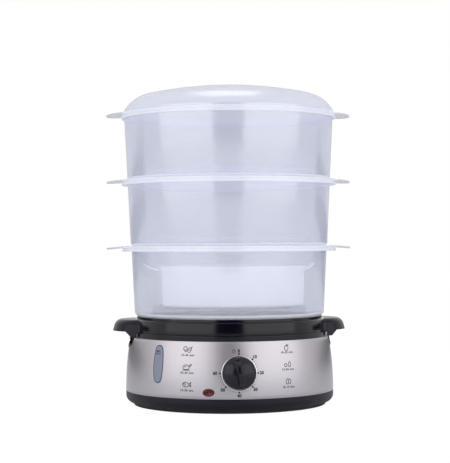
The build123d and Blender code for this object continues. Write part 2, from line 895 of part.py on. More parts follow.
with BuildPart() as timer_screws:
    with BuildSketch(knob_plane.offset(-case_front)):
        with Locations(*frame_spots):
            Circle(screw_head)
    extrude(amount=-screw_head_height)
    with BuildSketch(knob_plane.offset(-case_front)):
        with Locations(*frame_spots):
            Circle(screw_shank)
    extrude(amount=frame_thickness + frame_depth / 2 - screw_tip)
finish(timer_screws, "timer_screws")

with BuildPart() as timer_shaft:
    with BuildSketch(knob_plane.offset(-case_front - shaft_in_case)):
        Circle(shaft_radius)
    extrude(amount=case_front + shaft_in_case + knob_gap + shaft_in_knob)
    with BuildSketch(knob_plane.offset(knob_gap)):
        with Locations((0, shaft_radius - shaft_flat)):
            Rectangle(3 * shaft_radius, shaft_radius, align=(Align.CENTER, Align.MIN))
    extrude(amount=shaft_in_knob, mode=Mode.SUBTRACT)
finish(timer_shaft, "timer_shaft")

# ---------------------------------------------------------------- knob
knob_back = knob_plane.offset(knob_gap)
knob_section = Plane(origin=knob_back.origin, x_dir=(1, 0, 0), z_dir=-knob_back.y_dir)
knob_axis = Axis(knob_back.origin, knob_back.z_dir)
grip_turn = math.radians(knob_rest_turn)
grip_line = knob_back.y_dir * math.cos(grip_turn) - knob_back.x_dir * math.sin(grip_turn)
grip_side = Plane(origin=knob_back.origin, x_dir=grip_line, z_dir=grip_line.cross(knob_back.z_dir))

# Arched bar across the knob's disc.
with BuildPart() as knob_grip:
    with BuildSketch(knob_back):
        SlotOverall(grip_length, grip_width, rotation=90 + knob_rest_turn)
    extrude(amount=knob_total, taper=grip_taper)
    with BuildSketch(grip_side):
        with BuildLine():
            ThreePointArc((-grip_length / 2, knob_edge), (0, knob_total), (grip_length / 2, knob_edge))
            Polyline(
                (grip_length / 2, knob_edge),
                (grip_length / 2, 0),
                (-grip_length / 2, 0),
                (-grip_length / 2, knob_edge),
            )
        make_face()
    extrude(amount=grip_width, both=True, mode=Mode.INTERSECT)

with BuildPart() as timer_knob:
    with BuildSketch(knob_section):
        with BuildLine():
            Polyline((0, knob_dome), (0, 0), (knob_radius, 0), (knob_radius, knob_edge))
            TangentArc((knob_radius, knob_edge), (0, knob_dome), tangent=knob_lead)
        make_face()
    revolve(axis=knob_axis)
    add(knob_grip.part)
    with BuildSketch(knob_back):
        Circle(shaft_radius + shaft_gap)
        with Locations((0, shaft_radius - shaft_flat + shaft_gap)):
            Rectangle(3 * shaft_radius, shaft_radius, align=(Align.CENTER, Align.MIN), mode=Mode.SUBTRACT)
    extrude(amount=shaft_in_knob + seat_gap, mode=Mode.SUBTRACT)
finish(timer_knob, "timer_knob")

# ---------------------------------------------------------------- mains connection
with BuildPart() as cord_bush:
    with BuildSketch(facing(180, cord_height, pad_face + bush_flange_thickness)):
        Circle(bush_flange)
    extrude(amount=-bush_flange_thickness)
    with BuildSketch(facing(180, cord_height, pad_face)):
        Circle(bush_radius)
    extrude(amount=-cord_pad_depth)
    with BuildSketch(facing(180, cord_height, pad_face - cord_pad_depth)):
        Circle(bush_inner_flange)
    extrude(amount=-bush_flange_thickness)
    with BuildSketch(facing(180, cord_height, pad_face + bush_flange_thickness)):
        Circle(cord_bore)
    extrude(amount=-cord_pad_depth - 2 * bush_flange_thickness, mode=Mode.SUBTRACT)
finish(cord_bush, "cord_bush")

with BuildPart() as terminal_block:
    with BuildSketch(Plane.XY.offset(shell_floor_top)):
        with Locations((0, terminal_place)):
            Rectangle(terminal_length, terminal_width)
    extrude(amount=terminal_height)
    with BuildSketch(Plane.XY.offset(shell_floor_top + terminal_height)):
        with Locations((0, terminal_place)):
            with GridLocations(terminal_length / 3, terminal_width / 2, 3, 2):
                Circle(terminal_hole)
    extrude(amount=-terminal_height / 2, mode=Mode.SUBTRACT)
finish(terminal_block, "terminal_block")

# ---------------------------------------------------------------- steam ring
with BuildPart() as steam_ring:
    ring_foot = tank_floor_top + seat_gap
    with BuildSketch(Plane.XZ):
        with BuildLine():
            Polyline(
                (steam_ring_foot, ring_foot),
                (steam_ring_flange, ring_foot),
                (steam_ring_flange, ring_foot + steam_ring_wall),
                (steam_ring_foot + steam_ring_wall, ring_foot + steam_ring_wall),
                (steam_ring_top + steam_ring_wall, ring_foot + steam_ring_height),
                (steam_ring_top, ring_foot + steam_ring_height),
                close=True,
            )
        make_face()
    revolve(axis=Axis.Z)
    for turn in (0, 90):
        with BuildSketch(facing(turn, ring_foot)):
            Rectangle(steam_gate_width, 2 * steam_gate_height)
        extrude(amount=tank_radius, both=True, mode=Mode.SUBTRACT)
finish(steam_ring, "steam_ring")

# ---------------------------------------------------------------- drip tray
tray_bottom = ring_top + seat_gap
tray_skirt = ring_inner - slip_gap
tray_skirt_bottom = tray_bottom - tray_skirt_depth
tray_rim_inner = tray_rim_outer - tray_wall
tray_floor_top = tray_floor + tray_wall


def grip_form(inset):
    """The grip's form, smaller all round by an inset: an oval with a drafted side and a rounded top."""
    with BuildPart() as form:
        with BuildSketch(Plane.XY.offset(handle_underside)):
            with Locations((handle_centre, 0)):
                Ellipse(handle_reach - handle_centre - inset, handle_half_width - inset)
        extrude(amount=handle_top - handle_underside - inset, taper=handle_draft)
        fillet(form.faces().sort_by(Axis.Z)[-1].edges(), handle_corner - inset)
    return form.part


# Side handle: a hollow downturned grip, with webs that slant in to the base under each end.
web_bottom = deck_top + web_gap
with BuildPart() as handle:
    with BuildSketch(Plane.XY.offset(web_bottom)):
        with Locations((handle_centre, 0)):
            Ellipse(handle_reach - handle_centre, handle_half_width)
    extrude(amount=handle_underside - web_bottom)
    with BuildSketch(Plane.XZ):
        with BuildLine():
            Polyline(
                (0, web_bottom),
                (ring_outer + web_gap, web_bottom),
                (base_radius + web_gap, handle_underside),
                (0, handle_underside),
                close=True,
            )
        make_face()
    extrude(amount=2 * handle_half_width, both=True, mode=Mode.INTERSECT)
    add(grip_form(0))
    with BuildSketch(Plane.XY.offset(web_bottom)):
        with Locations((handle_centre, 0)):
            Ellipse(handle_reach - handle_centre - handle_wall, handle_half_width - handle_wall)
    extrude(amount=handle_underside - web_bottom, mode=Mode.SUBTRACT)
    add(grip_form(handle_wall), mode=Mode.SUBTRACT)
    # cleared outside the top ring and inside the tray's own wall
    with BuildSketch(Plane.XY.offset(deck_top)):
        Circle(ring_outer + web_gap)
    extrude(amount=tray_bottom - deck_top, mode=Mode.SUBTRACT)
    with BuildSketch(Plane.XY.offset(tray_bottom)):
        Circle(tray_top_radius - tray_wall / 2)
    extrude(amount=handle_top, mode=Mode.SUBTRACT)
    mirror(about=Plane.YZ)

with BuildPart() as drip_tray:
    with BuildSketch(Plane.XZ):
        with BuildLine():
            FilletPolyline(
                (chimney_radius - tray_wall, tray_floor),
                (tray_rim_inner, tray_floor),
                (tray_rim_inner + tray_wall, tray_floor),
                (tray_rim_inner + tray_wall, tray_shoulder - tray_wall),
                (tray_top_radius - tray_wall, tray_shoulder - tray_wall),
                (tray_skirt - tray_wall, tray_bottom + tray_wall),
                (tray_skirt - tray_wall, tray_skirt_bottom),
                (tray_skirt, tray_skirt_bottom),
                (tray_skirt, tray_bottom),
                (tray_radius, tray_bottom),
                (tray_top_radius, tray_shoulder),
                (tray_rim_outer, tray_shoulder),
                (tray_rim_outer, tray_rim_top),
                (tray_rim_inner, tray_rim_top),
                (tray_rim_inner, tray_floor_top),
                (chimney_radius, tray_floor_top),
                (chimney_radius, chimney_top),
                (chimney_radius - tray_wall, chimney_top),
                close=True,
                radius=[0] * 10 + [tray_corner] + [0] * 7,
            )
        make_face()
    revolve(axis=Axis.Z)
    add(handle.part)
    # drip cap over the steam chimney, on four legs
    with BuildSketch(Plane.XY.offset(cap_bottom)):
        Circle(cap_radius)
    extrude(amount=cap_thickness)
    with BuildSketch(Plane.XY.offset(tray_floor_top)):
        with PolarLocations(leg_circle, chimney_legs, start_angle=45):
            Rectangle(leg_depth, leg_width)
    extrude(amount=cap_bottom - tray_floor_top)
finish(drip_tray, "drip_tray")

# ---------------------------------------------------------------- baskets
basket_names = ("lower_basket", "middle_basket", "upper_basket")
shoulders = []
rims = []
level = tray_rim_top
for height in basket_heights:
    shoulders.append(level + seat_gap)
    level = level + seat_gap + height
    rims.append(level)


def wall_radius(tier, height):
    """Outer radius of a basket's wall at a height."""
    return basket_radii[tier] + basket_draft * (height - shoulders[tier])


plateau_radii = [radius - plateau_inset for radius in basket_radii]
slot_span = ear_reach - rim_radius
skirt_radii = [tray_rim_inner - slip_gap]
for tier in (0, 1):
    skirt_radii.append(wall_radius(tier, rims[tier] - nest_depth) - basket_wall - slip_gap)

for tier, name in enumerate(basket_names):
    shoulder = shoulders[tier]
    rim = rims[tier]
    skirt = skirt_radii[tier]
    plateau = plateau_radii[tier]
    floor_top = shoulder + basket_wall
    plateau_top = shoulder + plateau_rise
    groove_low = rim - rim_height / 2 - groove_height / 2
    with BuildPart() as basket:
        with BuildSketch(Plane.XZ):
            with BuildLine():
                FilletPolyline(
                    (skirt - skirt_wall, shoulder - nest_depth),
                    (skirt, shoulder - nest_depth),
                    (skirt, shoulder),
                    (basket_radii[tier], shoulder),
                    (wall_radius(tier, rim - rim_thickness), rim - rim_thickness),
                    (rim_radius - lip_thickness, rim - rim_thickness),
                    (rim_radius - lip_thickness, rim - rim_height),
                    (rim_radius, rim - rim_height),
                    (rim_radius, groove_low),
                    (rim_radius - groove_depth, groove_low),
                    (rim_radius - groove_depth, groove_low + groove_height),
                    (rim_radius, groove_low + groove_height),
                    (rim_radius, rim),
                    (wall_radius(tier, rim) - basket_wall, rim),
                    (basket_radii[tier] - basket_wall, floor_top),
                    (plateau, floor_top),
                    (plateau - plateau_slope, plateau_top),
                    (0, plateau_top),
                    (0, plateau_top - basket_wall),
                    (plateau - plateau_slope - basket_wall, plateau_top - basket_wall),
                    (plateau - basket_wall, shoulder),
                    (skirt - skirt_wall, shoulder),
                    close=True,
                    radius=[0, 0, 0, basket_corners[tier]] + [0] * 10 + [basket_floor_corner] + [0] * 7,
                )
            make_face()
        revolve(axis=Axis.Z)
        # perforated floor
        for share, count in zip(grille_circles, grille_counts):
            with BuildSketch(Plane.XY.offset(plateau_top)):
                with PolarLocations(share * plateau_radii[0], count):
                    Rectangle(grille_slot_length, grille_slot_width)
            extrude(amount=-basket_wall, mode=Mode.SUBTRACT)
        # side ears that droop a little from the rim
        droop = math.radians(ear_droop)
        for side in (-1, 1):
            ear_plane = Plane(
                origin=(side * ear_root, 0, rim),
                x_dir=(math.cos(droop), 0, -side * math.sin(droop)),
                z_dir=(side * math.sin(droop), 0, math.cos(droop)),
            )
            with BuildSketch(ear_plane):
                with Locations((-side * ear_centre, 0)):
                    Ellipse(ear_reach - ear_root + ear_centre, ear_half_width)
                Rectangle(
                    2 * (ear_reach - ear_root),
                    3 * ear_half_width,
                    align=(Align.MIN if side > 0 else Align.MAX, Align.CENTER),
                    mode=Mode.INTERSECT,
                )
                with Locations((side * (ear_overlap + ear_slot_place * slot_span), 0)):
                    SlotOverall(
                        ear_slot_length,
                        ear_slot_width * slot_span,
                        rotation=90,
                        mode=Mode.SUBTRACT,
                    )
            extrude(amount=-ear_thickness)
    finish(basket, name)

# ---------------------------------------------------------------- rice bowl
bowl_bottom = shoulders[0] + plateau_rise + seat_gap
bowl_top = bowl_bottom + bowl_height

bowl_rim_bottom = bowl_top - bowl_rim_height
with BuildPart() as bowl_ear:
    ear_start = (bowl_half_length - bowl_wall / 2, bowl_rim_bottom + bowl_ear_thickness / 2)
    ear_end = (bowl_ear_reach, ear_start[1] + bowl_ear_rise)
    with BuildSketch(Plane.XZ):
        with BuildLine():
            Spline(ear_start, ear_end, tangents=((1, 0), (1, 1)))
        trace(line_width=bowl_ear_thickness)
    extrude(amount=bowl_ear_width / 2, both=True)
    with BuildSketch(Plane.XY.offset(bowl_bottom)):
        with Locations((ear_start[0], 0)):
            Ellipse(bowl_ear_reach - ear_start[0], bowl_ear_width / 2)
            Ellipse(
                bowl_ear_reach - ear_start[0] - bowl_ear_band,
                bowl_ear_width / 2 - bowl_ear_band,
                mode=Mode.SUBTRACT,
            )
            Rectangle(
                bowl_ear_reach,
                bowl_ear_width,
                align=(Align.MIN, Align.CENTER),
                mode=Mode.INTERSECT,
            )
    extrude(amount=2 * bowl_height, mode=Mode.INTERSECT)
    mirror(about=Plane.YZ)


def bowl_form(inset):
    """The bowl's solid form, made smaller all round by an inset: a tapered disc with two flat ends."""
    height = bowl_height - inset
    lean = math.tan(math.radians(bowl_taper)) * height
    with BuildPart() as form:
        with BuildSketch(Plane.XY.offset(bowl_bottom + inset)):
            Circle(bowl_radius - inset - lean)
            Rectangle(2 * (bowl_half_length - inset - lean), 3 * bowl_radius, mode=Mode.INTERSECT)
        extrude(amount=height, taper=-bowl_taper)
        uprights = [e for e in form.edges() if abs(e.tangent_at(0.5).Z) > 0.5]
        fillet(uprights, bowl_corner - inset)
        fillet(form.faces().sort_by(Axis.Z)[0].edges(), bowl_foot_corner - inset)
    return form.part


with BuildPart() as rice_bowl:
    add(bowl_form(0))
    add(bowl_form(bowl_wall), mode=Mode.SUBTRACT)
    # rim band round the mouth
    with BuildSketch(Plane.XY.offset(bowl_rim_bottom)) as mouth:
        Circle(bowl_radius + bowl_rim_width)
        Rectangle(2 * (bowl_half_length + bowl_rim_width), 3 * bowl_radius, mode=Mode.INTERSECT)
        fillet(mouth.vertices(), bowl_corner)
        offset(amount=-bowl_rim_width - bowl_wall / 2, mode=Mode.SUBTRACT)
    extrude(amount=bowl_rim_height)
    add(bowl_ear.part)
finish(rice_bowl, "rice_bowl")

# ---------------------------------------------------------------- lid
lid_bottom = rims[2] + seat_gap
lid_apex = lid_bottom + lid_total
lid_plug = wall_radius(2, rims[2] - lid_plug_depth) - basket_wall - slip_gap


def crown(radius, inset=0.0):
    """Height of the lid's crown at a radius."""
    reach = lid_crown_radius - inset
    return lid_apex - lid_crown_radius + math.sqrt(reach**2 - radius**2)


shoulder_rise = crown(lid_shoulder) - lid_bottom
with BuildPart() as lid:
    with BuildSketch(Plane.XZ):
        with BuildLine():
            ThreePointArc(
                (0, crown(0)),
                (lid_shoulder / 2, crown(lid_shoulder / 2)),
                (lid_shoulder, crown(lid_shoulder)),
            )
            ThreePointArc(
                (lid_shoulder, crown(lid_shoulder)),
                (lid_radius - lid_bulge_inset, lid_bottom + lid_bulge * shoulder_rise),
                (lid_radius, lid_bottom + lid_edge),
            )
            Polyline(
                (lid_radius, lid_bottom + lid_edge),
                (lid_radius, lid_bottom),
                (lid_plug, lid_bottom),
                (lid_plug, lid_bottom - lid_plug_depth),
                (lid_plug - lid_wall, lid_bottom - lid_plug_depth),
                (lid_plug - lid_wall, lid_bottom + lid_edge),
            )
            ThreePointArc(
                (lid_plug - lid_wall, lid_bottom + lid_edge),
                (
                    lid_radius - lid_bulge_inset - lid_wall,
                    lid_bottom + lid_bulge * shoulder_rise - lid_wall,
                ),
                (lid_shoulder, crown(lid_shoulder, lid_wall)),
            )
            ThreePointArc(
                (lid_shoulder, crown(lid_shoulder, lid_wall)),
                (lid_shoulder / 2, crown(lid_shoulder / 2, lid_wall)),
                (0, crown(0, lid_wall)),
            )
            Line((0, crown(0, lid_wall)), (0, crown(0)))
        make_face()
    revolve(axis=Axis.Z)
finish(lid, "lid")
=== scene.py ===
# %% [markdown]
# # Dressing an electric food steamer
#
# A steamer is a stack: a steel base with the water tank and the timer, a black drip tray with two
# handles, three clear baskets that nest into each other, a rice bowl and a domed lid. The solids of all
# these come in as a fixed frame. This lesson gives the ones that show a finer mesh, a finish each, the
# printed dial and a plain studio. Every piece stays where its solid is.

# %% Load the fixed frame
import bmesh
import bpy
import math
from mathutils import Matrix, Vector


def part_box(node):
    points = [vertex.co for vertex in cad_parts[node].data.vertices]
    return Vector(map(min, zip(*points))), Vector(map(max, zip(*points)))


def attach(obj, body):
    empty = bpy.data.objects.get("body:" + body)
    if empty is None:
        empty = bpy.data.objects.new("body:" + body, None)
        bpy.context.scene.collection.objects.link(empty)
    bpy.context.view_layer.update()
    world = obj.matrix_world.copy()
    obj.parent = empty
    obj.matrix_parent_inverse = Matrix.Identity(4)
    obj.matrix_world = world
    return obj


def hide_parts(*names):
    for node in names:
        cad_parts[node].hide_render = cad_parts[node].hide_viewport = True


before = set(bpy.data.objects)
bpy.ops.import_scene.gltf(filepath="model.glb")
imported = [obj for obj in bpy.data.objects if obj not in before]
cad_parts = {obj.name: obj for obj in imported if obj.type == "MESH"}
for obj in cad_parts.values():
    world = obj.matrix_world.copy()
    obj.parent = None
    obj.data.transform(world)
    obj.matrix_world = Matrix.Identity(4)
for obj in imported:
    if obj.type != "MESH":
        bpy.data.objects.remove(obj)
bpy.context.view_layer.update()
MM = 0.001

# %% [markdown]
# ## The camera
#
# A long lens from a little under two metres keeps the upright sides upright. The camera stands at about
# half the height of the stack and a little to the left, so that the window shows more than the right side.


# %% Place the camera
def stand(name, data):
    """Puts a mesh, curve, lamp or camera in the scene as an object."""
    thing = bpy.data.objects.new(name, data)
    bpy.context.scene.collection.objects.link(thing)
    return thing


eye = Vector((-0.147, -1.677, 0.188))
yaw_left = math.radians(0.155)
pitch_up = math.radians(0.374)
roll = math.radians(0.28)
heading = math.atan2(-eye.x, -eye.y)

lens = bpy.data.cameras.new("camera")
lens.sensor_width = 36
lens.lens = 112.5
camera = stand("camera", lens)
look = Matrix.Rotation(-(heading - yaw_left), 4, "Z") @ Matrix.Rotation(math.pi / 2 + pitch_up, 4, "X")
camera.matrix_world = Matrix.Translation(eye) @ look @ Matrix.Rotation(-roll, 4, "Z")
bpy.context.scene.camera = camera
print("camera heading", round(math.degrees(heading), 2), "degrees right of straight ahead")

# %% [markdown]
# ## Sizes
#
# The sizes are the ones the solids were made with, in millimetres. The steel side is an upright curve of
# a large radius, so its radius at a height comes from a short function.

# %% Sizes that several pieces share
BASE_R = 120.0  # the steel side where it stands upright
SIDE_CURVE, PLUMB = 318.0, 20.0  # radius of the side's upright curve, and the height where it is upright
BAND_LOW, BAND_HIGH = 16.6, 78.6  # lower and upper edge of the steel
SHEET = 0.6  # thickness of the steel
WALL = 1.8  # thickness of the clear mouldings and the bowl
SLIP = 0.4  # gap round a piece that drops into another
SHOULDERS = (102.2, 182.9, 259.1)  # heights at which the three baskets rest
RIMS = (182.6, 258.8, 335.5)  # heights of their rims
WALL_FEET = (109.5, 113.9, 117.5)  # radii of their walls at the shoulder
LEAN = 0.0478  # how far a basket's wall leans out as it rises
TIERS = ("lower_basket", "middle_basket", "upper_basket")
DIAL_HEIGHT = 44.8
WINDOW_TURN, WINDOW_HEIGHT = -46.6, 52.7
LENS_TURN, LENS_HEIGHT = -16.0, 23.9


def side_r(height, inset=0.0):
    """Radius of the curved side at a height, some way in from the steel's outer face."""
    return BASE_R - SIDE_CURVE + math.sqrt((SIDE_CURVE - inset) ** 2 - (height - PLUMB) ** 2)


for node in TIERS:
    low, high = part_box(node)
    print(node, "from", round(low.z / MM, 1), "to", round(high.z / MM, 1), "mm")
print("steel side", [round(side_r(z), 1) for z in (BAND_LOW, BAND_HIGH)], "mm in radius at its foot and top")

# %% [markdown]
# ## Outlines that are spun
#
# Most of a steamer is round, so most pieces are a wire outline that is spun about the axis. Corners are
# rounded while they are still points on a wire, which is cheaper and cleaner than a bevel on the spun
# mesh.


# %% Outlines and spinning
def rounded(bm, geom, size, segments, affect="EDGES"):
    """Rounds edges or corners by a size in millimetres."""
    bmesh.ops.bevel(
        bm, geom=geom, offset=size * MM, segments=segments, profile=0.5, affect=affect, material=-1,
    )


def outline(points, rounding=(), closed=True, segments=4):
    """A wire outline in the XZ plane from radii and heights in millimetres, with some corners rounded."""
    bm = bmesh.new()
    corners = [bm.verts.new((r * MM, 0, z * MM)) for r, z in points]
    pairs = list(zip(corners, corners[1:]))
    if closed:
        pairs.append((corners[-1], corners[0]))
    for pair in pairs:
        bm.edges.new(pair)
    for place, size in dict(rounding).items():
        rounded(bm, [corners[place]], size, segments, "VERTICES")
    return bm


def turn(bm, steps=192):
    """Spins an outline right round the Z axis and closes it."""
    bmesh.ops.spin(
        bm, geom=bm.verts[:] + bm.edges[:], cent=(0, 0, 0), axis=(0, 0, 1),
        angle=2 * math.pi, steps=steps, use_merge=True,
    )
    bmesh.ops.remove_doubles(bm, verts=bm.verts, dist=2e-6)
    bmesh.ops.recalc_face_normals(bm, faces=bm.faces)
    return bm


tried = turn(outline([(2, 0), (3, 0), (3, 1), (2, 1)]))
print("a square spun into a ring has", len(tried.faces), "faces")
tried.free()


# %% Arcs
def arc_through(a, b, c, count):
    """Points on the circle through three points, from the first to the last."""
    (ax, ay), (bx, by), (cx, cy) = a, b, c
    d = 2 * (ax * (by - cy) + bx * (cy - ay) + cx * (ay - by))
    sa, sb, sc = ax * ax + ay * ay, bx * bx + by * by, cx * cx + cy * cy
    ux = (sa * (by - cy) + sb * (cy - ay) + sc * (ay - by)) / d
    uy = (sa * (cx - bx) + sb * (ax - cx) + sc * (bx - ax)) / d
    start, end = math.atan2(ay - uy, ax - ux), math.atan2(cy - uy, cx - ux)
    reach = math.hypot(ax - ux, ay - uy)
    turns = [start + (end - start) * i / count for i in range(count + 1)]
    return [(ux + reach * math.cos(t), uy + reach * math.sin(t)) for t in turns]


arc = arc_through((0, 0), (1, 1), (2, 0), 8)
print("an arc of", len(arc), "points that peaks at", round(max(y for _, y in arc), 3))

# %% [markdown]
# ## Bars and blocks
#
# What isn't round is drawn out along a straight line: a long oval, a rounded bar or a block. These also
# serve as the closed forms that cut holes.


# %% Placement of a form
def facing(azimuth, height, distance=0.0):
    """Placement of an upright panel that looks outward; azimuth 0 is the front, to the right is more."""
    a = math.radians(azimuth)
    across = Vector((math.cos(a), math.sin(a), 0))
    out = Vector((math.sin(a), -math.cos(a), 0))
    place = Matrix((across, Vector((0, 0, 1)), out)).transposed().to_4x4()
    place.translation = out * distance * MM + Vector((0, 0, height * MM))
    return place


def drawn_out(bm, vec):
    """Extrudes every face of a flat form along a vector and gives the points of the new end."""
    made = bmesh.ops.extrude_face_region(bm, geom=bm.faces[:])
    end = [v for v in made["geom"] if isinstance(v, bmesh.types.BMVert)]
    bmesh.ops.translate(bm, verts=end, vec=vec)
    return end


def placed(bm, place):
    """Moves a closed form to a placement and turns its faces outward."""
    bmesh.ops.transform(bm, matrix=place, verts=bm.verts)
    bmesh.ops.recalc_face_normals(bm, faces=bm.faces)
    return bm


out = facing(WINDOW_TURN, WINDOW_HEIGHT).to_3x3() @ Vector((0, 0, 1))
print("the window looks along", [round(c, 2) for c in out])


# %% Bars
def oval_bar(place, width, height, near, far, straight=0.0, segments=64):
    """A closed bar with an oval or slot section, along a placement's own Z, from near to far."""
    bm = bmesh.new()
    bmesh.ops.create_circle(bm, cap_ends=True, segments=segments, radius=0.5)
    bmesh.ops.scale(bm, verts=bm.verts, vec=(width * MM, (height - straight) * MM, 1))
    for sign in (1, -1):
        half = [v for v in bm.verts if v.co.y * sign > 1e-7]
        bmesh.ops.translate(bm, verts=half, vec=(0, sign * straight * MM / 2, 0))
    bmesh.ops.translate(bm, verts=bm.verts, vec=(0, 0, near * MM))
    drawn_out(bm, (0, 0, (far - near) * MM))
    return placed(bm, place)


def bar(points, place, near, far):
    """A closed bar with any outline, in millimetres, along a placement's own Z, from near to far."""
    bm = bmesh.new()
    bm.faces.new([bm.verts.new((x * MM, y * MM, near * MM)) for x, y in points])
    drawn_out(bm, (0, 0, (far - near) * MM))
    return placed(bm, place)


tried = oval_bar(Matrix.Identity(4), 4, 8, 0, 1, straight=4)
print("a slot-shaped bar has", len(tried.faces), "faces")
tried.free()


# %% Slabs and blocks
def slab(points, half):
    """A form with an outline in the XZ plane that runs from -half to half along Y."""
    bm = outline(points)
    bmesh.ops.contextual_create(bm, geom=bm.edges[:])
    bmesh.ops.translate(bm, verts=bm.verts, vec=(0, -half * MM, 0))
    drawn_out(bm, (0, 2 * half * MM, 0))
    bmesh.ops.recalc_face_normals(bm, faces=bm.faces)
    return bm


def block(low, high, rounding=0.0, place=Matrix.Identity(4)):
    """A box between two corners, with rounded edges where asked."""
    bm = bmesh.new()
    bmesh.ops.create_cube(bm, size=1.0)
    bmesh.ops.scale(bm, verts=bm.verts, vec=(Vector(high) - Vector(low)) * MM)
    bmesh.ops.translate(bm, verts=bm.verts, vec=(Vector(high) + Vector(low)) * MM / 2)
    if rounding:
        rounded(bm, bm.edges[:], rounding, 3)
    bmesh.ops.transform(bm, matrix=place, verts=bm.verts)
    return bm


tried = block((0, 0, 0), (4, 4, 4), 0.5)
print("a block with rounded edges has", len(tried.faces), "faces")
tried.free()

# %% [markdown]
# ## Joining, cutting and handing over
#
# Forms are gathered when they only touch, and joined or cut with the exact boolean when they share walls.
# A finished form becomes a piece: a mesh with its finishes, on the body that carries it.


# %% Gather and combine
def as_mesh(name, bm):
    """Turns a form into mesh data and frees it."""
    mesh = bpy.data.meshes.new(name)
    bm.to_mesh(mesh)
    bm.free()
    return mesh


def gather(*forms):
    """Several forms as one."""
    whole = bmesh.new()
    for form in forms:
        mesh = as_mesh("part", form)
        whole.from_mesh(mesh)
        bpy.data.meshes.remove(mesh)
    return whole


def combine(bm, other, how="DIFFERENCE"):
    """Cuts, joins or crosses two closed forms and gives back the result."""
    pair = [stand("form", as_mesh("form", form)) for form in (bm, other)]
    step = pair[0].modifiers.new("cut", "BOOLEAN")
    step.operation = how
    step.solver = "EXACT"
    step.object = pair[1]
    result = bmesh.new()
    result.from_object(pair[0], bpy.context.evaluated_depsgraph_get())
    for thing in pair:
        mesh = thing.data
        bpy.data.objects.remove(thing)
        bpy.data.meshes.remove(mesh)
    return result


tried = combine(block((0, 0, 0), (2, 2, 2)), block((1, 1, 1), (3, 3, 3)))
print("a block with a corner cut out has", len(tried.faces), "faces")
tried.free()


# %% Hand a piece over
def piece(name, bm, body, coat, instead_of=(), sharp=32.0, more=(), which=None):
    """Turns a form into a piece that rides on a body; which() picks a face's finish by its middle."""
    if more:
        for face in bm.faces:
            face.material_index = which(face.calc_center_median() / MM)
    mesh = as_mesh(name, bm)
    for one in (coat, *more):
        mesh.materials.append(one)
    mesh.shade_smooth()
    mesh.set_sharp_from_angle(angle=math.radians(sharp))
    thing = stand(name, mesh)
    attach(thing, body)
    if instead_of:
        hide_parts(*instead_of)
    print(name, len(mesh.polygons), "faces")


# %% [markdown]
# ## Finishes
#
# Every finish is a small node tree: a pattern steers a base colour, a roughness and a fine bump, each
# between two close values. The moulded pieces differ mostly in gloss, so one function makes them all.


# %% Steer a finish by a pattern
def tree_of(owner):
    """The nodes and links of a material or a world."""
    owner.use_nodes = True
    return owner.node_tree.nodes, owner.node_tree.links


def spread(nodes, links, value, low, high):
    """Spreads an output that runs from 0 to 1 over a range of numbers."""
    made = nodes.new("ShaderNodeMapRange")
    made.inputs["To Min"].default_value = low
    made.inputs["To Max"].default_value = high
    links.new(value, made.inputs["Value"])
    return made.outputs["Result"]


def vary(nodes, links, pattern, dark, pale, rough, bump, depth):
    """Lets a pattern steer the main shader's colour, roughness and bump."""
    shader = nodes["Principled BSDF"]
    tint = nodes.new("ShaderNodeMix")
    tint.data_type = "RGBA"
    tint.inputs["A"].default_value = (*dark, 1)
    tint.inputs["B"].default_value = (*pale, 1)
    links.new(pattern, tint.inputs["Factor"])
    links.new(tint.outputs["Result"], shader.inputs["Base Color"])
    links.new(spread(nodes, links, pattern, *rough), shader.inputs["Roughness"])
    raised = nodes.new("ShaderNodeBump")
    raised.inputs["Strength"].default_value = bump
    raised.inputs["Distance"].default_value = depth
    links.new(pattern, raised.inputs["Height"])
    links.new(raised.outputs["Normal"], shader.inputs["Normal"])


print("a pattern steers colour, roughness and bump")


# %% A moulded or metal finish
def finish(name, dark, pale, rough, bump=0.02, grain=900.0, **settings):
    """A finish whose colour and roughness wander between two values on a fine noise."""
    made = bpy.data.materials.new(name)
    nodes, links = tree_of(made)
    where = nodes.new("ShaderNodeTexCoord")
    noise = nodes.new("ShaderNodeTexNoise")
    noise.inputs["Scale"].default_value = grain
    noise.inputs["Detail"].default_value = 3
    links.new(where.outputs["Object"], noise.inputs["Vector"])
    vary(nodes, links, noise.outputs["Fac"], dark, pale, rough, bump, 0.0002)
    for key, value in settings.items():
        nodes["Principled BSDF"].inputs[key.replace("_", " ")].default_value = value
    return made


silicone = finish("silicone", (0.45, 0.45, 0.43), (0.58, 0.58, 0.55), (0.50, 0.60))
print("silicone has", len(silicone.node_tree.nodes), "nodes")

# %% [markdown]
# ## Blacks, metals and small parts
#
# Four blacks stand next to each other on a steamer: the glossy tray, its duller grips, the satin shell
# and the knob. They differ in gloss and in how much blue is in them. The rest are metals and small parts.

# %% Plain finishes
gloss_black = finish(
    "gloss_black", (0.0010, 0.0010, 0.0038), (0.0022, 0.0020, 0.0066), (0.13, 0.18),
    Specular_IOR_Level=0.29,
)
satin_black = finish(
    "satin_black", (0.0035, 0.0020, 0.0065), (0.0070, 0.0050, 0.0115), (0.38, 0.50), bump=0.25,
    Specular_IOR_Level=0.22,
)
grip_black = finish(
    "grip_black", (0.0020, 0.0018, 0.0075), (0.0050, 0.0045, 0.0120), (0.22, 0.30), bump=0.1,
    Specular_IOR_Level=0.19,
)
knob_black = finish(
    "knob_black", (0.0024, 0.0022, 0.0080), (0.0052, 0.0048, 0.0125), (0.21, 0.28), bump=0.05,
    Specular_IOR_Level=0.30,
)
soft_rubber = finish("soft_rubber", (0.010, 0.010, 0.010), (0.024, 0.024, 0.024), (0.70, 0.85), bump=0.3)
white_plastic = finish("white_plastic", (0.72, 0.72, 0.70), (0.82, 0.82, 0.80), (0.35, 0.45), bump=0.1)
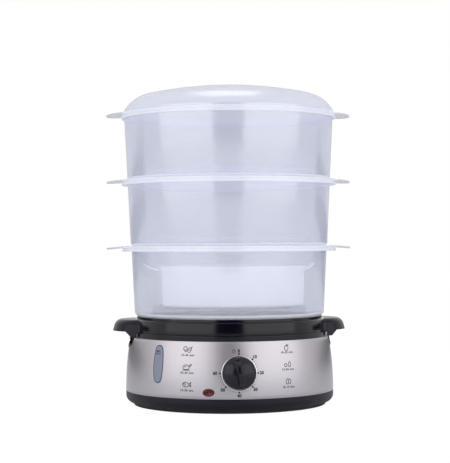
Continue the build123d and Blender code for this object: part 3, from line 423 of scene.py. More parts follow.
ink = finish("ink", (0.006, 0.006, 0.008), (0.014, 0.014, 0.018), (0.50, 0.60), Specular_IOR_Level=0.2)
lamp_glass = finish("lamp_glass", (0.80, 0.45, 0.30), (0.90, 0.55, 0.40), (0.05, 0.10), Alpha=0.5)
polished_steel = finish("polished_steel", (0.72, 0.71, 0.72), (0.84, 0.83, 0.84), (0.12, 0.22), Metallic=1.0)
zinc_steel = finish("zinc_steel", (0.50, 0.50, 0.50), (0.66, 0.66, 0.65), (0.25, 0.38), Metallic=1.0)
yellow_brass = finish("yellow_brass", (0.60, 0.43, 0.17), (0.72, 0.55, 0.27), (0.25, 0.35), Metallic=1.0)
cast_alloy = finish(
    "cast_alloy", (0.52, 0.53, 0.54), (0.68, 0.69, 0.70), (0.35, 0.50), bump=0.2, Metallic=1.0,
)
print(len(bpy.data.materials), "materials so far, with the frame's own")

# %% [markdown]
# ## Clear moulded walls
#
# Steamer baskets are moulded in polypropylene: clear but a little milky and blue, with a glossy skin.
# Most light passes straight through, some glows through the wall, some is sent back by the milk in it,
# and the skin mirrors more the flatter a ray meets it. Rims and feet are thick and look whiter.


# %% Mix shaders and numbers
def blend(nodes, links, share, first, second):
    """Mixes two shaders; share is a number or an output, and 1 is all of the second."""
    made = nodes.new("ShaderNodeMixShader")
    if isinstance(share, float):
        made.inputs["Fac"].default_value = share
    else:
        links.new(share, made.inputs["Fac"])
    links.new(first, made.inputs[1])
    links.new(second, made.inputs[2])
    return made.outputs["Shader"]


def maths(nodes, links, operation, first, second):
    """One sum on an output and on a second output or a number."""
    made = nodes.new("ShaderNodeMath")
    made.operation = operation
    links.new(first, made.inputs[0])
    if isinstance(second, float):
        made.inputs[1].default_value = second
    else:
        links.new(second, made.inputs[1])
    return made.outputs["Value"]


print("shaders are mixed and numbers summed by one node each")


# %% A clear wall
def clear_wall(name, dark, pale, passed, tint, glow, gloss=(0.05, 0.30), rough=0.12):
    """Milky plastic: a share of the light is passed and tinted, the rest scatters, under a glossy skin."""
    made = finish(name, dark, pale, (0.45, 0.60), bump=0.04, grain=60.0, Specular_IOR_Level=0.0)
    nodes, links = tree_of(made)
    body = nodes["Principled BSDF"]
    through = nodes.new("ShaderNodeBsdfTranslucent")
    links.new(body.inputs["Base Color"].links[0].from_socket, through.inputs["Color"])
    straight = nodes.new("ShaderNodeBsdfTransparent")
    straight.inputs["Color"].default_value = (*tint, 1)
    skin = nodes.new("ShaderNodeBsdfAnisotropic")
    skin.inputs["Roughness"].default_value = rough
    slant = nodes.new("ShaderNodeLayerWeight")
    slant.inputs["Blend"].default_value = 0.5
    milky = blend(nodes, links, glow, body.outputs["BSDF"], through.outputs["BSDF"])
    clear = blend(nodes, links, passed, milky, straight.outputs["BSDF"])
    steep = maths(nodes, links, "POWER", slant.outputs["Facing"], 5.0)
    whole = blend(nodes, links, spread(nodes, links, steep, *gloss), clear, skin.outputs["BSDF"])
    links.new(whole, nodes["Material Output"].inputs["Surface"])
    return made


WALL_LAYERS = 32  # a ray crosses both sides of every wall, ear and floor on its way through the stack
bpy.context.scene.cycles.transparent_max_bounces = WALL_LAYERS
print("light may pass", WALL_LAYERS, "surfaces of clear plastic")

# %% Clear finishes
blue_milk = ((0.76, 0.775, 0.95), (0.83, 0.845, 0.985))
white_milk = ((0.88, 0.885, 0.93), (0.92, 0.925, 0.965))
basket_clear = clear_wall("basket_clear", *blue_milk, 0.90, (0.966, 0.975, 1.0), 0.30, (0.115, 0.20), 0.16)
floor_clear = clear_wall("floor_clear", *white_milk, 0.86, (0.990, 0.992, 1.0), 0.50, (0.02, 0.06))
rim_clear = clear_wall("rim_clear", *white_milk, 0.36, (0.970, 0.975, 0.99), 0.40)
lid_clear = clear_wall(
    "lid_clear", (0.80, 0.81, 0.87), (0.86, 0.87, 0.93), 0.68, (0.980, 0.984, 1.0), 0.40, (0.09, 0.30), 0.20,
)
bowl_milk = clear_wall(
    "bowl_milk", (0.97, 0.96, 0.96), (0.99, 0.98, 0.975), 0.02, (0.98, 0.98, 0.98), 0.10, (0.15, 0.45), 0.16,
)
print(len(bpy.data.materials), "materials so far, with the frame's own")

# %% [markdown]
# ## Brushed steel
#
# The wrap is brushed along its length, round the base. A noise that is stretched a long way round and
# very short upward gives the lines, and a radial tangent turns the gloss with them.

# %% The brushed wrap
brushed_steel = bpy.data.materials.new("brushed_steel")
nodes, links = tree_of(brushed_steel)
where = nodes.new("ShaderNodeTexCoord")
round_angle = nodes.new("ShaderNodeTexGradient")
round_angle.gradient_type = "RADIAL"
links.new(where.outputs["Object"], round_angle.inputs["Vector"])
parts = nodes.new("ShaderNodeSeparateXYZ")
links.new(where.outputs["Object"], parts.inputs["Vector"])
sheet_place = nodes.new("ShaderNodeCombineXYZ")
links.new(round_angle.outputs["Fac"], sheet_place.inputs["X"])
links.new(parts.outputs["Z"], sheet_place.inputs["Y"])
stretch = nodes.new("ShaderNodeMapping")
stretch.inputs["Scale"].default_value = (40, 4200, 1)
links.new(sheet_place.outputs["Vector"], stretch.inputs["Vector"])
lines = nodes.new("ShaderNodeTexNoise")
lines.inputs["Scale"].default_value = 1
lines.inputs["Detail"].default_value = 4
links.new(stretch.outputs["Vector"], lines.inputs["Vector"])
vary(
    nodes, links, lines.outputs["Fac"], (0.345, 0.325, 0.35), (0.45, 0.425, 0.455), (0.26, 0.40),
    bump=0.15, depth=0.0001,
)
tangent = nodes.new("ShaderNodeTangent")
tangent.direction_type = "RADIAL"
tangent.axis = "Z"
shader = nodes["Principled BSDF"]
shader.inputs["Metallic"].default_value = 1.0
shader.inputs["Anisotropic"].default_value = 0.5
links.new(tangent.outputs["Tangent"], shader.inputs["Tangent"])
print("brushed_steel has", len(nodes), "nodes")

# %% [markdown]
# ## Foot ring and lower shell
#
# The base stands on a rubber ring. The shell above it is a plain dish of black plastic with a rounded
# lower edge, air slots and recesses for the cover screws.

# %% Foot ring
foot = outline(
    [(102, 0), (111, 0), (111, 3), (108, 3), (108, 4.6), (105, 4.6), (105, 3), (102, 3)],
    {0: 0.6, 1: 0.8},
)
piece("foot_ring_soft", turn(foot), "base", soft_rubber, ["foot_ring"])

# %% Lower shell
VENTS, VENT_CIRCLE = 10, 62
SCREW_TURNS, SCREW_CIRCLE = (-45, 45, 135, 200), 93.5
skirt_in = side_r(BAND_LOW, 2.95) - 0.3
shell = outline(
    [
        (0, 3), (104.9, 3), (104.9, 4.7), (108.1, 4.7), (108.1, 3), (BASE_R, 3), (BASE_R, BAND_LOW),
        (skirt_in, BAND_LOW), (skirt_in, 18.2), (skirt_in - 2, 18.2), (skirt_in - 2, 14.4),
        (117.8, 14.4), (117.8, 5.2), (110.3, 5.2), (110.3, 6.9), (102.7, 6.9), (102.7, 5.2), (0, 5.2),
    ],
    {5: 8.5, 6: 0.5, 12: 6.3},
    closed=False,
    segments=8,
)


def beside_axis(turned, radius):
    """Placement at an angle in degrees and a radius in millimetres from the stack's axis."""
    a = math.radians(turned)
    return Matrix.Translation((radius * MM * math.cos(a), radius * MM * math.sin(a), 0))


holes = []
for i in range(VENTS):
    turned = 360 / VENTS * i
    place = beside_axis(turned, VENT_CIRCLE) @ Matrix.Rotation(math.radians(turned + 90), 4, "Z")
    holes.append(oval_bar(place, 4, 26, 1, 8, straight=22, segments=24))
holes += [oval_bar(beside_axis(turned, SCREW_CIRCLE), 8, 8, 1, 8, segments=32) for turned in SCREW_TURNS]
shell = combine(turn(shell), gather(*holes))
seats = []
for turned in SCREW_TURNS:
    seat = outline([(2.0, 6.8), (4.0, 6.8), (4.0, 3.6), (6.0, 3.6), (6.0, 9.0), (2.0, 9.0)])
    seat = turn(seat, 32)
    bmesh.ops.transform(seat, matrix=beside_axis(turned, SCREW_CIRCLE), verts=seat.verts)
    seats.append(seat)
cord_pad = block((-9.5, 112.2, 5.4), (9.5, 120.2, BAND_LOW), 0.3)
cord_pad = combine(cord_pad, oval_bar(facing(180, 11.0), 9.8, 9.8, 100, 130))
piece("lower_shell", gather(shell, cord_pad, *seats), "base", satin_black, ["bottom_shell"])

# %% [markdown]
# ## Steel wrap
#
# The sheet is spun from its curved outline, and the openings for the window, the indicator, the timer
# shaft and the two side spouts are cut through it. A bright pressed rim frames the knob.

# %% Outline of the window
WINDOW_HALF, WINDOW_TIP = 7.2, 20.8  # half of the window's width and of its height
NECK_WIDE, NECK_UP = 0.82, 0.74  # shares of those at which a bowed side meets a rounded end


def window_line(growth):
    """Outline of the window's long oval: two bowed sides and two rounded ends."""
    half, tip = WINDOW_HALF + growth, WINDOW_TIP + growth
    neck, level = half * NECK_WIDE, WINDOW_TIP * NECK_UP + growth
    side = arc_through((neck, -level), (half, 0), (neck, level), 12)
    end = arc_through((neck, level), (0, tip), (-neck, level), 12)
    right_half = side + end[1:]
    return right_half + [(-x, -y) for x, y in right_half[1:-1]]


window_face = facing(WINDOW_TURN, WINDOW_HEIGHT)
lens_face = facing(LENS_TURN, LENS_HEIGHT)
print("the window's outline has", len(window_line(0)), "points")

# %% Steel wrap
CUT_NEAR, CUT_FAR = 90, 130  # a hole's bar runs from inside the side to outside it
SIDE_STEPS = 256
heights = [BAND_LOW + (BAND_HIGH - BAND_LOW) * i / 16 for i in range(17)]


def side_ring(near, far, rounding=()):
    """A spun sheet that follows the steel side, between two distances in from its outer face."""
    sheet = [(side_r(z, near), z) for z in heights] + [(side_r(z, far), z) for z in reversed(heights)]
    return turn(outline(sheet, rounding, segments=2), SIDE_STEPS)


wrap = side_ring(0.0, SHEET, {0: 0.2, 16: 0.2})
cuts = gather(
    bar(window_line(0.1), window_face, CUT_NEAR, CUT_FAR),
    oval_bar(lens_face, 11.0, 6.7, CUT_NEAR, CUT_FAR),
    oval_bar(facing(0, DIAL_HEIGHT), 9.0, 9.0, CUT_NEAR, CUT_FAR),
    oval_bar(facing(90, BAND_HIGH), 53.2, 25.4, CUT_NEAR, CUT_FAR, segments=96),
    oval_bar(facing(-90, BAND_HIGH), 53.2, 25.4, CUT_NEAR, CUT_FAR, segments=96),
)
piece("steel_wrap", combine(wrap, cuts), "base", brushed_steel, ["steel_band"])

# %% Rim round the knob
knob_lean = math.asin((DIAL_HEIGHT - PLUMB) / SIDE_CURVE)
knob_seat = Matrix.Translation((0, -side_r(DIAL_HEIGHT) * MM, DIAL_HEIGHT * MM))
knob_seat = knob_seat @ Matrix.Rotation(math.pi / 2 - knob_lean, 4, "X")
rim = turn(outline([(18.1, -1.6), (19.3, -1.6), (19.3, 0.9), (18.1, 0.9)], {2: 0.55, 3: 0.55}), 128)
bmesh.ops.transform(rim, matrix=knob_seat, verts=rim.verts)
piece("knob_rim", rim, "base", polished_steel)

# %% [markdown]
# ## Drip tray
#
# The tray is one glossy moulding: a wall that stands on the base's ring, a rim that the lower basket
# sits in, a floor with a steam chimney, and a hollow grip at each side.

# %% Tray wall, rim and floor
RING_OUT = side_r(BAND_HIGH, 0.75)
SEAT_TOP = 84.7  # underside of the tray, just over the base's top ring
skirt = RING_OUT - 2.85 - SLIP
tray = outline(
    [
        (26, 88), (105.2, 88), (107.2, 88), (107.2, 96.9), (108.6, 96.9), (skirt - 2, 86.7),
        (skirt - 2, 79.5), (skirt, 79.5), (skirt, SEAT_TOP), (111.8, SEAT_TOP), (110.6, 98.9), (107.2, 98.9),
        (107.2, 101.9), (105.2, 101.9), (105.2, 90), (28, 90), (28, 97.5), (26, 97.5),
    ],
    {9: 0.4, 10: 1.6, 12: 0.5, 13: 0.5, 14: 1.0, 16: 0.5, 17: 0.5},
)
tray = turn(tray, SIDE_STEPS)
print("tray wall:", len(tray.faces), "faces")

# %% Levels of a grip
GRIP_LOW, GRIP_TOP, GRIP_ROUND, GRIP_WALL = 85.6, 98.8, 9.0, 2.2
GRIP_MIDDLE, GRIP_OUT, GRIP_HALF = 100, 35, 39  # the grip's oval: its centre, reach outward and half width
WEB_LOW = 79.2


def grip_levels(inset):
    """Heights and insets of the grip, from its open underside over the rounding to its flat top."""
    corner, top = GRIP_ROUND - inset, GRIP_TOP - inset
    draft = (top - GRIP_LOW) * math.tan(math.radians(15))
    flat = inset + draft + corner * math.tan(math.radians(37.5))
    bend = [math.radians(75 - 12.5 * i) for i in range(7)]
    over = [(top - corner + corner * math.cos(a), flat - corner * math.sin(a)) for a in bend]
    return [(GRIP_LOW, inset)] + over


def oval_stack(levels, segments=128):
    """A closed form of stacked ovals, each smaller than the grip's outline by an inset."""
    bm = bmesh.new()
    for z, inset in levels:
        made = bmesh.ops.create_circle(bm, cap_ends=False, segments=segments, radius=1.0)
        size = ((GRIP_OUT - inset) * MM, (GRIP_HALF - inset) * MM, 1)
        bmesh.ops.scale(bm, verts=made["verts"], vec=size)
        bmesh.ops.translate(bm, verts=made["verts"], vec=(GRIP_MIDDLE * MM, 0, z * MM))
    bmesh.ops.bridge_loops(bm, edges=bm.edges[:])
    bmesh.ops.holes_fill(bm, edges=[e for e in bm.edges if e.is_boundary], sides=segments)
    bmesh.ops.recalc_face_normals(bm, faces=bm.faces)
    return bm


print("the grip's top is drawn in by", round(grip_levels(0)[-1][1], 1), "mm")


# %% Hollow grips
def disc(radius, low, high):
    """An upright disc about the stack's axis."""
    return oval_bar(Matrix.Identity(4), 2 * radius, 2 * radius, low, high, segments=256)


def grip(side):
    """A hollow downturned grip at one side of the tray, with webs that slant in to the base."""
    web = RING_OUT + 1.2
    shape = oval_stack([(WEB_LOW, 0)] + grip_levels(0))
    slant = [(web, WEB_LOW), (121.2, GRIP_LOW), (150, GRIP_LOW), (150, 70), (web, 70)]
    shape = combine(shape, slab(slant, 60))
    shape = combine(shape, oval_stack([(70, GRIP_WALL)] + grip_levels(GRIP_WALL)))
    shape = combine(shape, disc(web, 70, SEAT_TOP))
    shape = combine(shape, disc(109.6, 84.0, 110))
    if side < 0:
        bmesh.ops.transform(shape, matrix=Matrix.Rotation(math.pi, 4, "Z"), verts=shape.verts)
    return shape


cap = turn(outline([(0, 102), (35, 102), (35, 103.8), (0, 103.8)], {1: 0.4, 2: 0.8}, closed=False), 96)
legs = [
    block((27.0, -3.0, 89.0), (31.4, 3.0, 102.4), place=Matrix.Rotation(math.radians(45 + 90 * i), 4, "Z"))
    for i in range(4)
]
GRIP_STARTS = 113.5
piece(
    "tray_moulding", gather(tray, grip(1), grip(-1), cap, *legs), "drip_tray", gloss_black,
    ["drip_tray"], more=[grip_black], which=lambda spot: int(math.hypot(spot.x, spot.y) > GRIP_STARTS),
)

# %% [markdown]
# ## Baskets
#
# A basket is a leaning wall between a stepped rim and a nesting skirt, with a raised, slotted floor. The
# two ears droop a little from the rim. The three differ in width and height, so one function makes all.

# %% Wall, rim and floor of a basket
NEST = 9.5  # how deep a basket's skirt drops into the one below
PLATEAU_IN, PLATEAU_UP = 19.5, 11.0  # the raised floor: in from the wall's foot, and up from the shoulder
CORNERS = (4.5, 2.4, 2.4)  # rounding between wall and shoulder
RIM_R, LIP_R, GROOVE_R = 124.2, 122.4, 123.5


def wall_r(tier, height):
    """Outer radius of a basket's wall at a height."""
    return WALL_FEET[tier] + LEAN * (height - SHOULDERS[tier])


def basket_shell(tier):
    """The spun part of one basket."""
    shoulder, top, foot_r = SHOULDERS[tier], RIMS[tier], WALL_FEET[tier]
    skirt_r = wall_r(tier - 1, RIMS[tier - 1] - NEST) - WALL - SLIP if tier else 104.8
    plateau, plateau_top, groove = foot_r - PLATEAU_IN, shoulder + PLATEAU_UP, top - 3.65
    form = outline(
        [
            (0, plateau_top - WALL), (plateau - 2.8, plateau_top - WALL), (plateau - WALL, shoulder),
            (skirt_r - 1.6, shoulder), (skirt_r - 1.6, shoulder - NEST), (skirt_r, shoulder - NEST),
            (skirt_r, shoulder), (foot_r, shoulder), (wall_r(tier, top - 2), top - 2), (LIP_R, top - 2),
            (LIP_R, top - 6.2), (RIM_R, top - 6.2), (RIM_R, groove), (GROOVE_R, groove),
            (GROOVE_R, groove + 1.1), (RIM_R, groove + 1.1), (RIM_R, top), (wall_r(tier, top) - WALL, top),
            (foot_r - WALL, shoulder + WALL), (plateau, shoulder + WALL), (plateau - 1, plateau_top),
            (0, plateau_top),
        ],
        {
            4: 0.4, 5: 0.5, 7: CORNERS[tier], 10: 0.4, 11: 0.5, 12: 0.3, 15: 0.3, 16: 0.7, 17: 0.5,
            18: 1.0, 20: 1.0,
        },
        closed=False,
        segments=3,
    )
    return turn(form)


print("walls are", [round(wall_r(tier, RIMS[tier]), 1) for tier in range(3)], "mm in radius at the rim")

# %% Slots of the floor
GRILLE = ((74.0, 20), (50.0, 14), (26.0, 8))  # radius of each circle and how many slots it has


def grille(plateau_top):
    """Bars that cut the slots through a raised floor."""
    slots = []
    for radius, count in GRILLE:
        low, high = (radius - 7.5, -1.8, plateau_top - 4), (radius + 7.5, 1.8, plateau_top + 2)
        for i in range(count):
            slots.append(block(low, high, place=Matrix.Rotation(2 * math.pi * i / count, 4, "Z")))
    return gather(*slots)


print("each floor has", sum(count for _, count in GRILLE), "slots")

# %% Ears
EAR_ROOT, EAR_DROOP, EAR_THICK = 119.8, 5.4, 1.9
EAR_LONG, EAR_WIDE, EAR_BACK = 48.4, 66, 2  # the whole oval, and how far its middle lies inside the root
SLOT_OUT, SLOT_WIDE, SLOT_LONG = 12.2, 6, 20  # the finger slot: its middle, width and length


def ear(side, top):
    """A flat oval ear with a finger slot, cut off where it meets the rim."""
    middle = Matrix.Translation((-side * EAR_BACK * MM, 0, 0))
    form = oval_bar(middle, EAR_LONG, EAR_WIDE, -EAR_THICK, 0, segments=96)
    rims = [e for e in form.edges if abs(e.verts[0].co.z - e.verts[1].co.z) < 1e-7]
    rounded(form, rims, 0.5, 2)
    middle = Matrix.Translation((side * SLOT_OUT * MM, 0, 0))
    hole = oval_bar(middle, SLOT_WIDE, SLOT_LONG, -5, 5, straight=SLOT_LONG - SLOT_WIDE)
    low, high = sorted((-side * 40, 0))
    form = combine(combine(form, hole), block((low, -40, -5), (high, 40, 5)))
    droop = Matrix.Rotation(math.radians(EAR_DROOP * side), 4, "Y")
    place = Matrix.Translation((side * EAR_ROOT * MM, 0, top * MM)) @ droop
    bmesh.ops.transform(form, matrix=place, verts=form.verts)
    return form


print("ears droop by", EAR_DROOP, "degrees")


# %% Baskets
def basket(tier):
    """One basket as a closed form."""
    form = combine(basket_shell(tier), grille(SHOULDERS[tier] + PLATEAU_UP))
    return combine(form, gather(ear(1, RIMS[tier]), ear(-1, RIMS[tier])), "UNION")


def basket_part(tier, spot):
    """Tells a basket's parts apart by their finish: 0 wall and ears, 1 rim, foot and skirt, 2 floor."""
    radius = math.hypot(spot.x, spot.y)
    if spot.z > RIMS[tier] - 7 and 121.0 < radius < 126.5:
        return 1
    if spot.z < SHOULDERS[tier] + 4.2 and radius > WALL_FEET[tier] - 7:
        return 1
    return 2 if radius < WALL_FEET[tier] - 8 and spot.z < SHOULDERS[tier] + 12 else 0


for tier, node in enumerate(TIERS):
    piece(
        node + "_moulding", basket(tier), node, basket_clear, [node],
        more=(rim_clear, floor_clear), which=lambda spot: basket_part(tier, spot),
    )

# %% [markdown]
# ## Lid
#
# The lid is a low crown that falls over a rounded shoulder to a straight edge, with a thin skirt that
# drops inside the upper basket.

# %% Lid
LID_LOW, LID_TALL, LID_R = 335.8, 31.7, 122
CROWN_CURVE, SHOULDER_R, BULGE_R = 455.0, 94.6, 111.7


def crown(radius, inset=0.0):
    """Height of the lid's crown at a radius."""
    return LID_LOW + LID_TALL - CROWN_CURVE + math.sqrt((CROWN_CURVE - inset) ** 2 - radius**2)


plug = wall_r(2, RIMS[2] - 6.0) - WALL - SLIP
edge_top = LID_LOW + 1.6
bulge = LID_LOW + 0.66 * (crown(SHOULDER_R) - LID_LOW)
rings = [SHOULDER_R * i / 10 for i in range(11)]
outside = [(r, crown(r)) for r in rings]
outside += arc_through((SHOULDER_R, crown(SHOULDER_R)), (BULGE_R, bulge), (LID_R, edge_top), 14)[1:]
inside = arc_through(
    (plug - WALL, edge_top), (BULGE_R - WALL, bulge - WALL), (SHOULDER_R, crown(SHOULDER_R, WALL)), 14,
)
inside += [(r, crown(r, WALL)) for r in reversed(rings[:10])]
edge = [(LID_R, LID_LOW), (plug, LID_LOW), (plug, LID_LOW - 6), (plug - WALL, LID_LOW - 6)]
dome = turn(outline(outside + edge + inside, closed=False))
piece("lid_dome", dome, "lid", lid_clear, ["lid"])

# %% [markdown]
# ## Rice bowl
#
# The bowl is a tapered disc with two flat ends, open at the top, with a rim band and a looped ear at each
# end. A circle is squared off at the ends and drawn up, and a second, smaller one hollows it out.

# %% A disc with two flat ends
BOWL_LOW, BOWL_TOP = 113.5, 160.0
BOWL_R, BOWL_HALF = 99, 81.5  # radius, and half the length between the flat ends, at the mouth


def bowl_disc(radius, half, low, high, corner, lean=0.0, foot=0.0):
    """A closed disc with two flat ends, that leans outward as it rises."""
    bm = bmesh.new()
    bmesh.ops.create_circle(bm, cap_ends=True, segments=128, radius=radius * MM)
    for sign in (1, -1):
        bmesh.ops.bisect_plane(
            bm, geom=bm.verts[:] + bm.edges[:] + bm.faces[:], plane_co=(sign * half * MM, 0, 0),
            plane_no=(sign, 0, 0), clear_outer=True, dist=1e-7,
        )
    bmesh.ops.contextual_create(bm, geom=[e for e in bm.edges if e.is_boundary])
    bmesh.ops.dissolve_faces(bm, faces=bm.faces[:], use_verts=False)
    ends = [v for v in bm.verts if abs(abs(v.co.x) - half * MM) < 1e-6]
    rounded(bm, ends, corner, 6, "VERTICES")
    top = drawn_out(bm, (0, 0, (high - low) * MM))
    grow = 1 + lean * (high - low) / radius
    bmesh.ops.scale(bm, verts=top, vec=(grow, grow, 1))
    bmesh.ops.translate(bm, verts=bm.verts, vec=(0, 0, low * MM))
    bmesh.ops.recalc_face_normals(bm, faces=bm.faces)
    if foot:
        base = [e for e in bm.edges if max(v.co.z for v in e.verts) < low * MM + 1e-6]
        rounded(bm, base, foot, 4)
    return bm


lean = math.tan(math.radians(2.0))
drop = lean * (BOWL_TOP - BOWL_LOW)
print("the bowl is", round(drop, 2), "mm narrower at its foot all round")

# %% Bowl and its rim band
outer = bowl_disc(BOWL_R - drop, BOWL_HALF - drop, BOWL_LOW, BOWL_TOP, 9, lean, 4)
inner = bowl_disc(
    BOWL_R - WALL - drop, BOWL_HALF - WALL - drop, BOWL_LOW + WALL, BOWL_TOP + 5, 7.2, lean, 2.2,
)
band = bowl_disc(BOWL_R + WALL, BOWL_HALF + WALL, BOWL_TOP - 5, BOWL_TOP, 9)
hollow = bowl_disc(BOWL_R - WALL / 2, BOWL_HALF - WALL / 2, BOWL_TOP - 9, BOWL_TOP + 9, 8)
bowl = combine(combine(outer, combine(band, hollow), "UNION"), inner)
print("bowl:", len(bowl.faces), "faces")

# %% Loops of the bowl
LOOP_OUT, LOOP_HALF, LOOP_BAND, LOOP_THICK = 18.6, 23.2, 5.4, 1.9
LOOP_START, LOOP_DOWN = 80.6, 4.0  # it grows out of the bowl's flat end, a little below the rim
RISE, RISE_START, RISE_REACH = 7.0, 83.0, 16.2  # how far it rises, and between which distances


def bowl_ear(side):
    """A loop that rises from the bowl's rim."""
    bm = bmesh.new()
    bmesh.ops.create_circle(bm, cap_ends=False, segments=64, radius=1.0)
    bmesh.ops.delete(bm, geom=[v for v in bm.verts if v.co.x < -0.01], context="VERTS")
    bmesh.ops.scale(bm, verts=bm.verts, vec=(LOOP_OUT * MM, LOOP_HALF * MM, 1))
    made = bmesh.ops.extrude_edge_only(bm, edges=bm.edges[:])
    inner_line = [v for v in made["geom"] if isinstance(v, bmesh.types.BMVert)]
    narrower = (1 - LOOP_BAND / LOOP_OUT, 1 - LOOP_BAND / LOOP_HALF, 1)
    bmesh.ops.scale(bm, verts=inner_line, vec=narrower)
    bmesh.ops.subdivide_edges(bm, edges=bm.edges[:], cuts=1, use_grid_fill=True)
    bmesh.ops.translate(bm, verts=bm.verts, vec=(LOOP_START * MM, 0, (BOWL_TOP - LOOP_DOWN) * MM))
    for v in bm.verts:
        reach = max(0.0, (v.co.x / MM - RISE_START) / RISE_REACH)
        v.co.z += RISE * MM * reach**1.7
    bmesh.ops.recalc_face_normals(bm, faces=bm.faces)
    bmesh.ops.solidify(bm, geom=bm.faces[:], thickness=LOOP_THICK * MM)
    bmesh.ops.recalc_face_normals(bm, faces=bm.faces)
    if side < 0:
        bmesh.ops.transform(bm, matrix=Matrix.Rotation(math.pi, 4, "Z"), verts=bm.verts)
    return bm


piece(
    "bowl_moulding", gather(bowl, bowl_ear(1), bowl_ear(-1)), "rice_bowl", bowl_milk,
    ["rice_bowl"],
)

# %% [markdown]
# ## Timer knob
#
# A shallow domed disc with a bar across it that is gripped between finger and thumb. The disc is spun,
# the bar is a tapered slot cut off by an arch and rounded all over, and it stands in the disc.

# %% Timer knob
REST_TURN = 13.0  # the bar leans this far at rest
KNOB_R, KNOB_EDGE, KNOB_DOME, KNOB_TALL = 17.5, 3.4, 10.0, 19.4
KNOB_LIFT = 0.9  # air between the knob and the steel
BAR_LONG, BAR_WIDE = 33.5, 10.5
dome = [(0, 0), (KNOB_R, 0), (KNOB_R, KNOB_EDGE)]
dome += arc_through((KNOB_R, KNOB_EDGE), (10.6, 8.6), (0, KNOB_DOME), 14)[1:]
dome = turn(outline(dome, {1: 0.4}, closed=False), 96)
grip_bar = oval_bar(Matrix.Identity(4), BAR_WIDE, BAR_LONG, 0, KNOB_TALL, straight=23, segments=48)
bmesh.ops.scale(grip_bar, verts=[v for v in grip_bar.verts if v.co.z > 0.01], vec=(0.55, 0.86, 1))
half = BAR_LONG / 2
arch = arc_through((-half, KNOB_EDGE), (0, KNOB_TALL), (half, KNOB_EDGE), 24) + [(half, 0), (-half, 0)]
arch = slab(arch, 9)
bmesh.ops.transform(arch, matrix=Matrix.Rotation(math.pi / 2, 4, "Z"), verts=arch.verts)
grip_bar = combine(grip_bar, arch, "INTERSECT")
rims = [e for e in grip_bar.edges if e.calc_face_angle(0) > 0.7 and min(v.co.z for v in e.verts) > 0.002]
rounded(grip_bar, rims, 0.8, 3)
bmesh.ops.transform(grip_bar, matrix=Matrix.Rotation(math.radians(REST_TURN), 4, "Z"), verts=grip_bar.verts)
knob = gather(dome, grip_bar)
bmesh.ops.transform(knob, matrix=knob_seat @ Matrix.Translation((0, 0, KNOB_LIFT * MM)), verts=knob.verts)
piece("knob_grip", knob, "knob", knob_black, ["timer_knob"])

# %% [markdown]
# ## Window and indicator
#
# The water window is one smoked pane with a flange behind the steel. A red jewel covers the neon lamp.
# Its face is cut in a ring of facets, so it sparkles when the lamp behind it is off.

# %% Window
smoke = finish("smoke_window", (0.155, 0.175, 0.24), (0.19, 0.21, 0.275), (0.12, 0.18), grain=200.0, IOR=1.5)
pane = bar(window_line(0), window_face, CUT_NEAR, CUT_FAR)
pane = combine(side_ring(-0.2, 0.75), pane, "INTERSECT")
flange = bar(window_line(2.6), window_face, CUT_NEAR, CUT_FAR)
flange = combine(side_ring(0.77, 1.75), flange, "INTERSECT")
piece("window_pane", gather(pane, flange), "base", smoke, ["water_window"])

# %% Jewel
LENS_WIDE, LENS_DEEP, SECTOR = 13, 8.7, 22.5
FACET_LOW, FACET_HIGH = 0.6, 0.1  # how far every other sector of the ring is set back, and the ones between
jewel_red = finish(
    "jewel_red", (0.010, 0.0, 0.001), (0.125, 0.003, 0.006), (0.06, 0.12), grain=330.0,
    Specular_IOR_Level=0.40,
)
lens_front = side_r(LENS_HEIGHT) + 0.1
out = lens_face.to_3x3() @ Vector((0, 0, 1))


def front_of(bm):
    """The largest face that looks straight out."""
    return max((f for f in bm.faces if f.normal.dot(out) > 0.9), key=lambda f: f.calc_area())


jewel = oval_bar(lens_face, LENS_WIDE, LENS_DEEP, lens_front, lens_front + 1.5, segments=48)
rounded(jewel, front_of(jewel).edges[:], 1.1, 3)
face = front_of(jewel)
bmesh.ops.inset_region(jewel, faces=[face], thickness=1.2 * MM, use_boundary=True, use_even_offset=True)
for v in face.verts:
    spot = lens_face.inverted() @ v.co
    angle = math.degrees(math.atan2(spot.y / LENS_DEEP, spot.x / LENS_WIDE))
    sector = int((angle + 363.75) / SECTOR)
    v.co -= out * MM * (FACET_LOW if sector % 2 else FACET_HIGH)
centre = bmesh.ops.poke(jewel, faces=[face])["verts"][0]
centre.co -= out * 0.5 * MM
stem = oval_bar(lens_face, 10.8, 6.5, lens_front - 8, lens_front + 0.02, segments=48)
piece("lens_jewel", gather(jewel, stem), "base", jewel_red, ["indicator_lens"], sharp=8)

# %% [markdown]
# ## Printing
#
# Marks are printed on the steel in dark ink. Each is drawn flat and then wrapped on the curved side, a
# few hundredths of a millimetre proud, so that it stays crisp from every side.

# %% Wrap flat marks on the steel
INK_PROUD = 0.04


def wrapped(bm, azimuth, height, lift=INK_PROUD):
    """Lays a flat form (metres, x right, y up) on the steel side at an azimuth and height."""
    for v in bm.verts:
        z = height + v.co.y / MM
        turn_by = math.radians(azimuth) + v.co.x / (side_r(z) * MM)
        r = (side_r(z) + lift) * MM + v.co.z
        v.co = Vector((math.sin(turn_by) * r, -math.cos(turn_by) * r, z * MM))
    return bm


def moved(bm, x, y):
    """Shifts a flat form, in millimetres."""
    bmesh.ops.translate(bm, verts=bm.verts, vec=(x * MM, y * MM, 0))
    return bm


def dot(radius, x, y):
    """A round dot at a place, in millimetres."""
    bm = bmesh.new()
    bmesh.ops.create_circle(bm, cap_ends=True, segments=20, radius=radius * MM)
    return moved(bm, x, y)


print("ink lies", INK_PROUD, "mm proud of the steel")


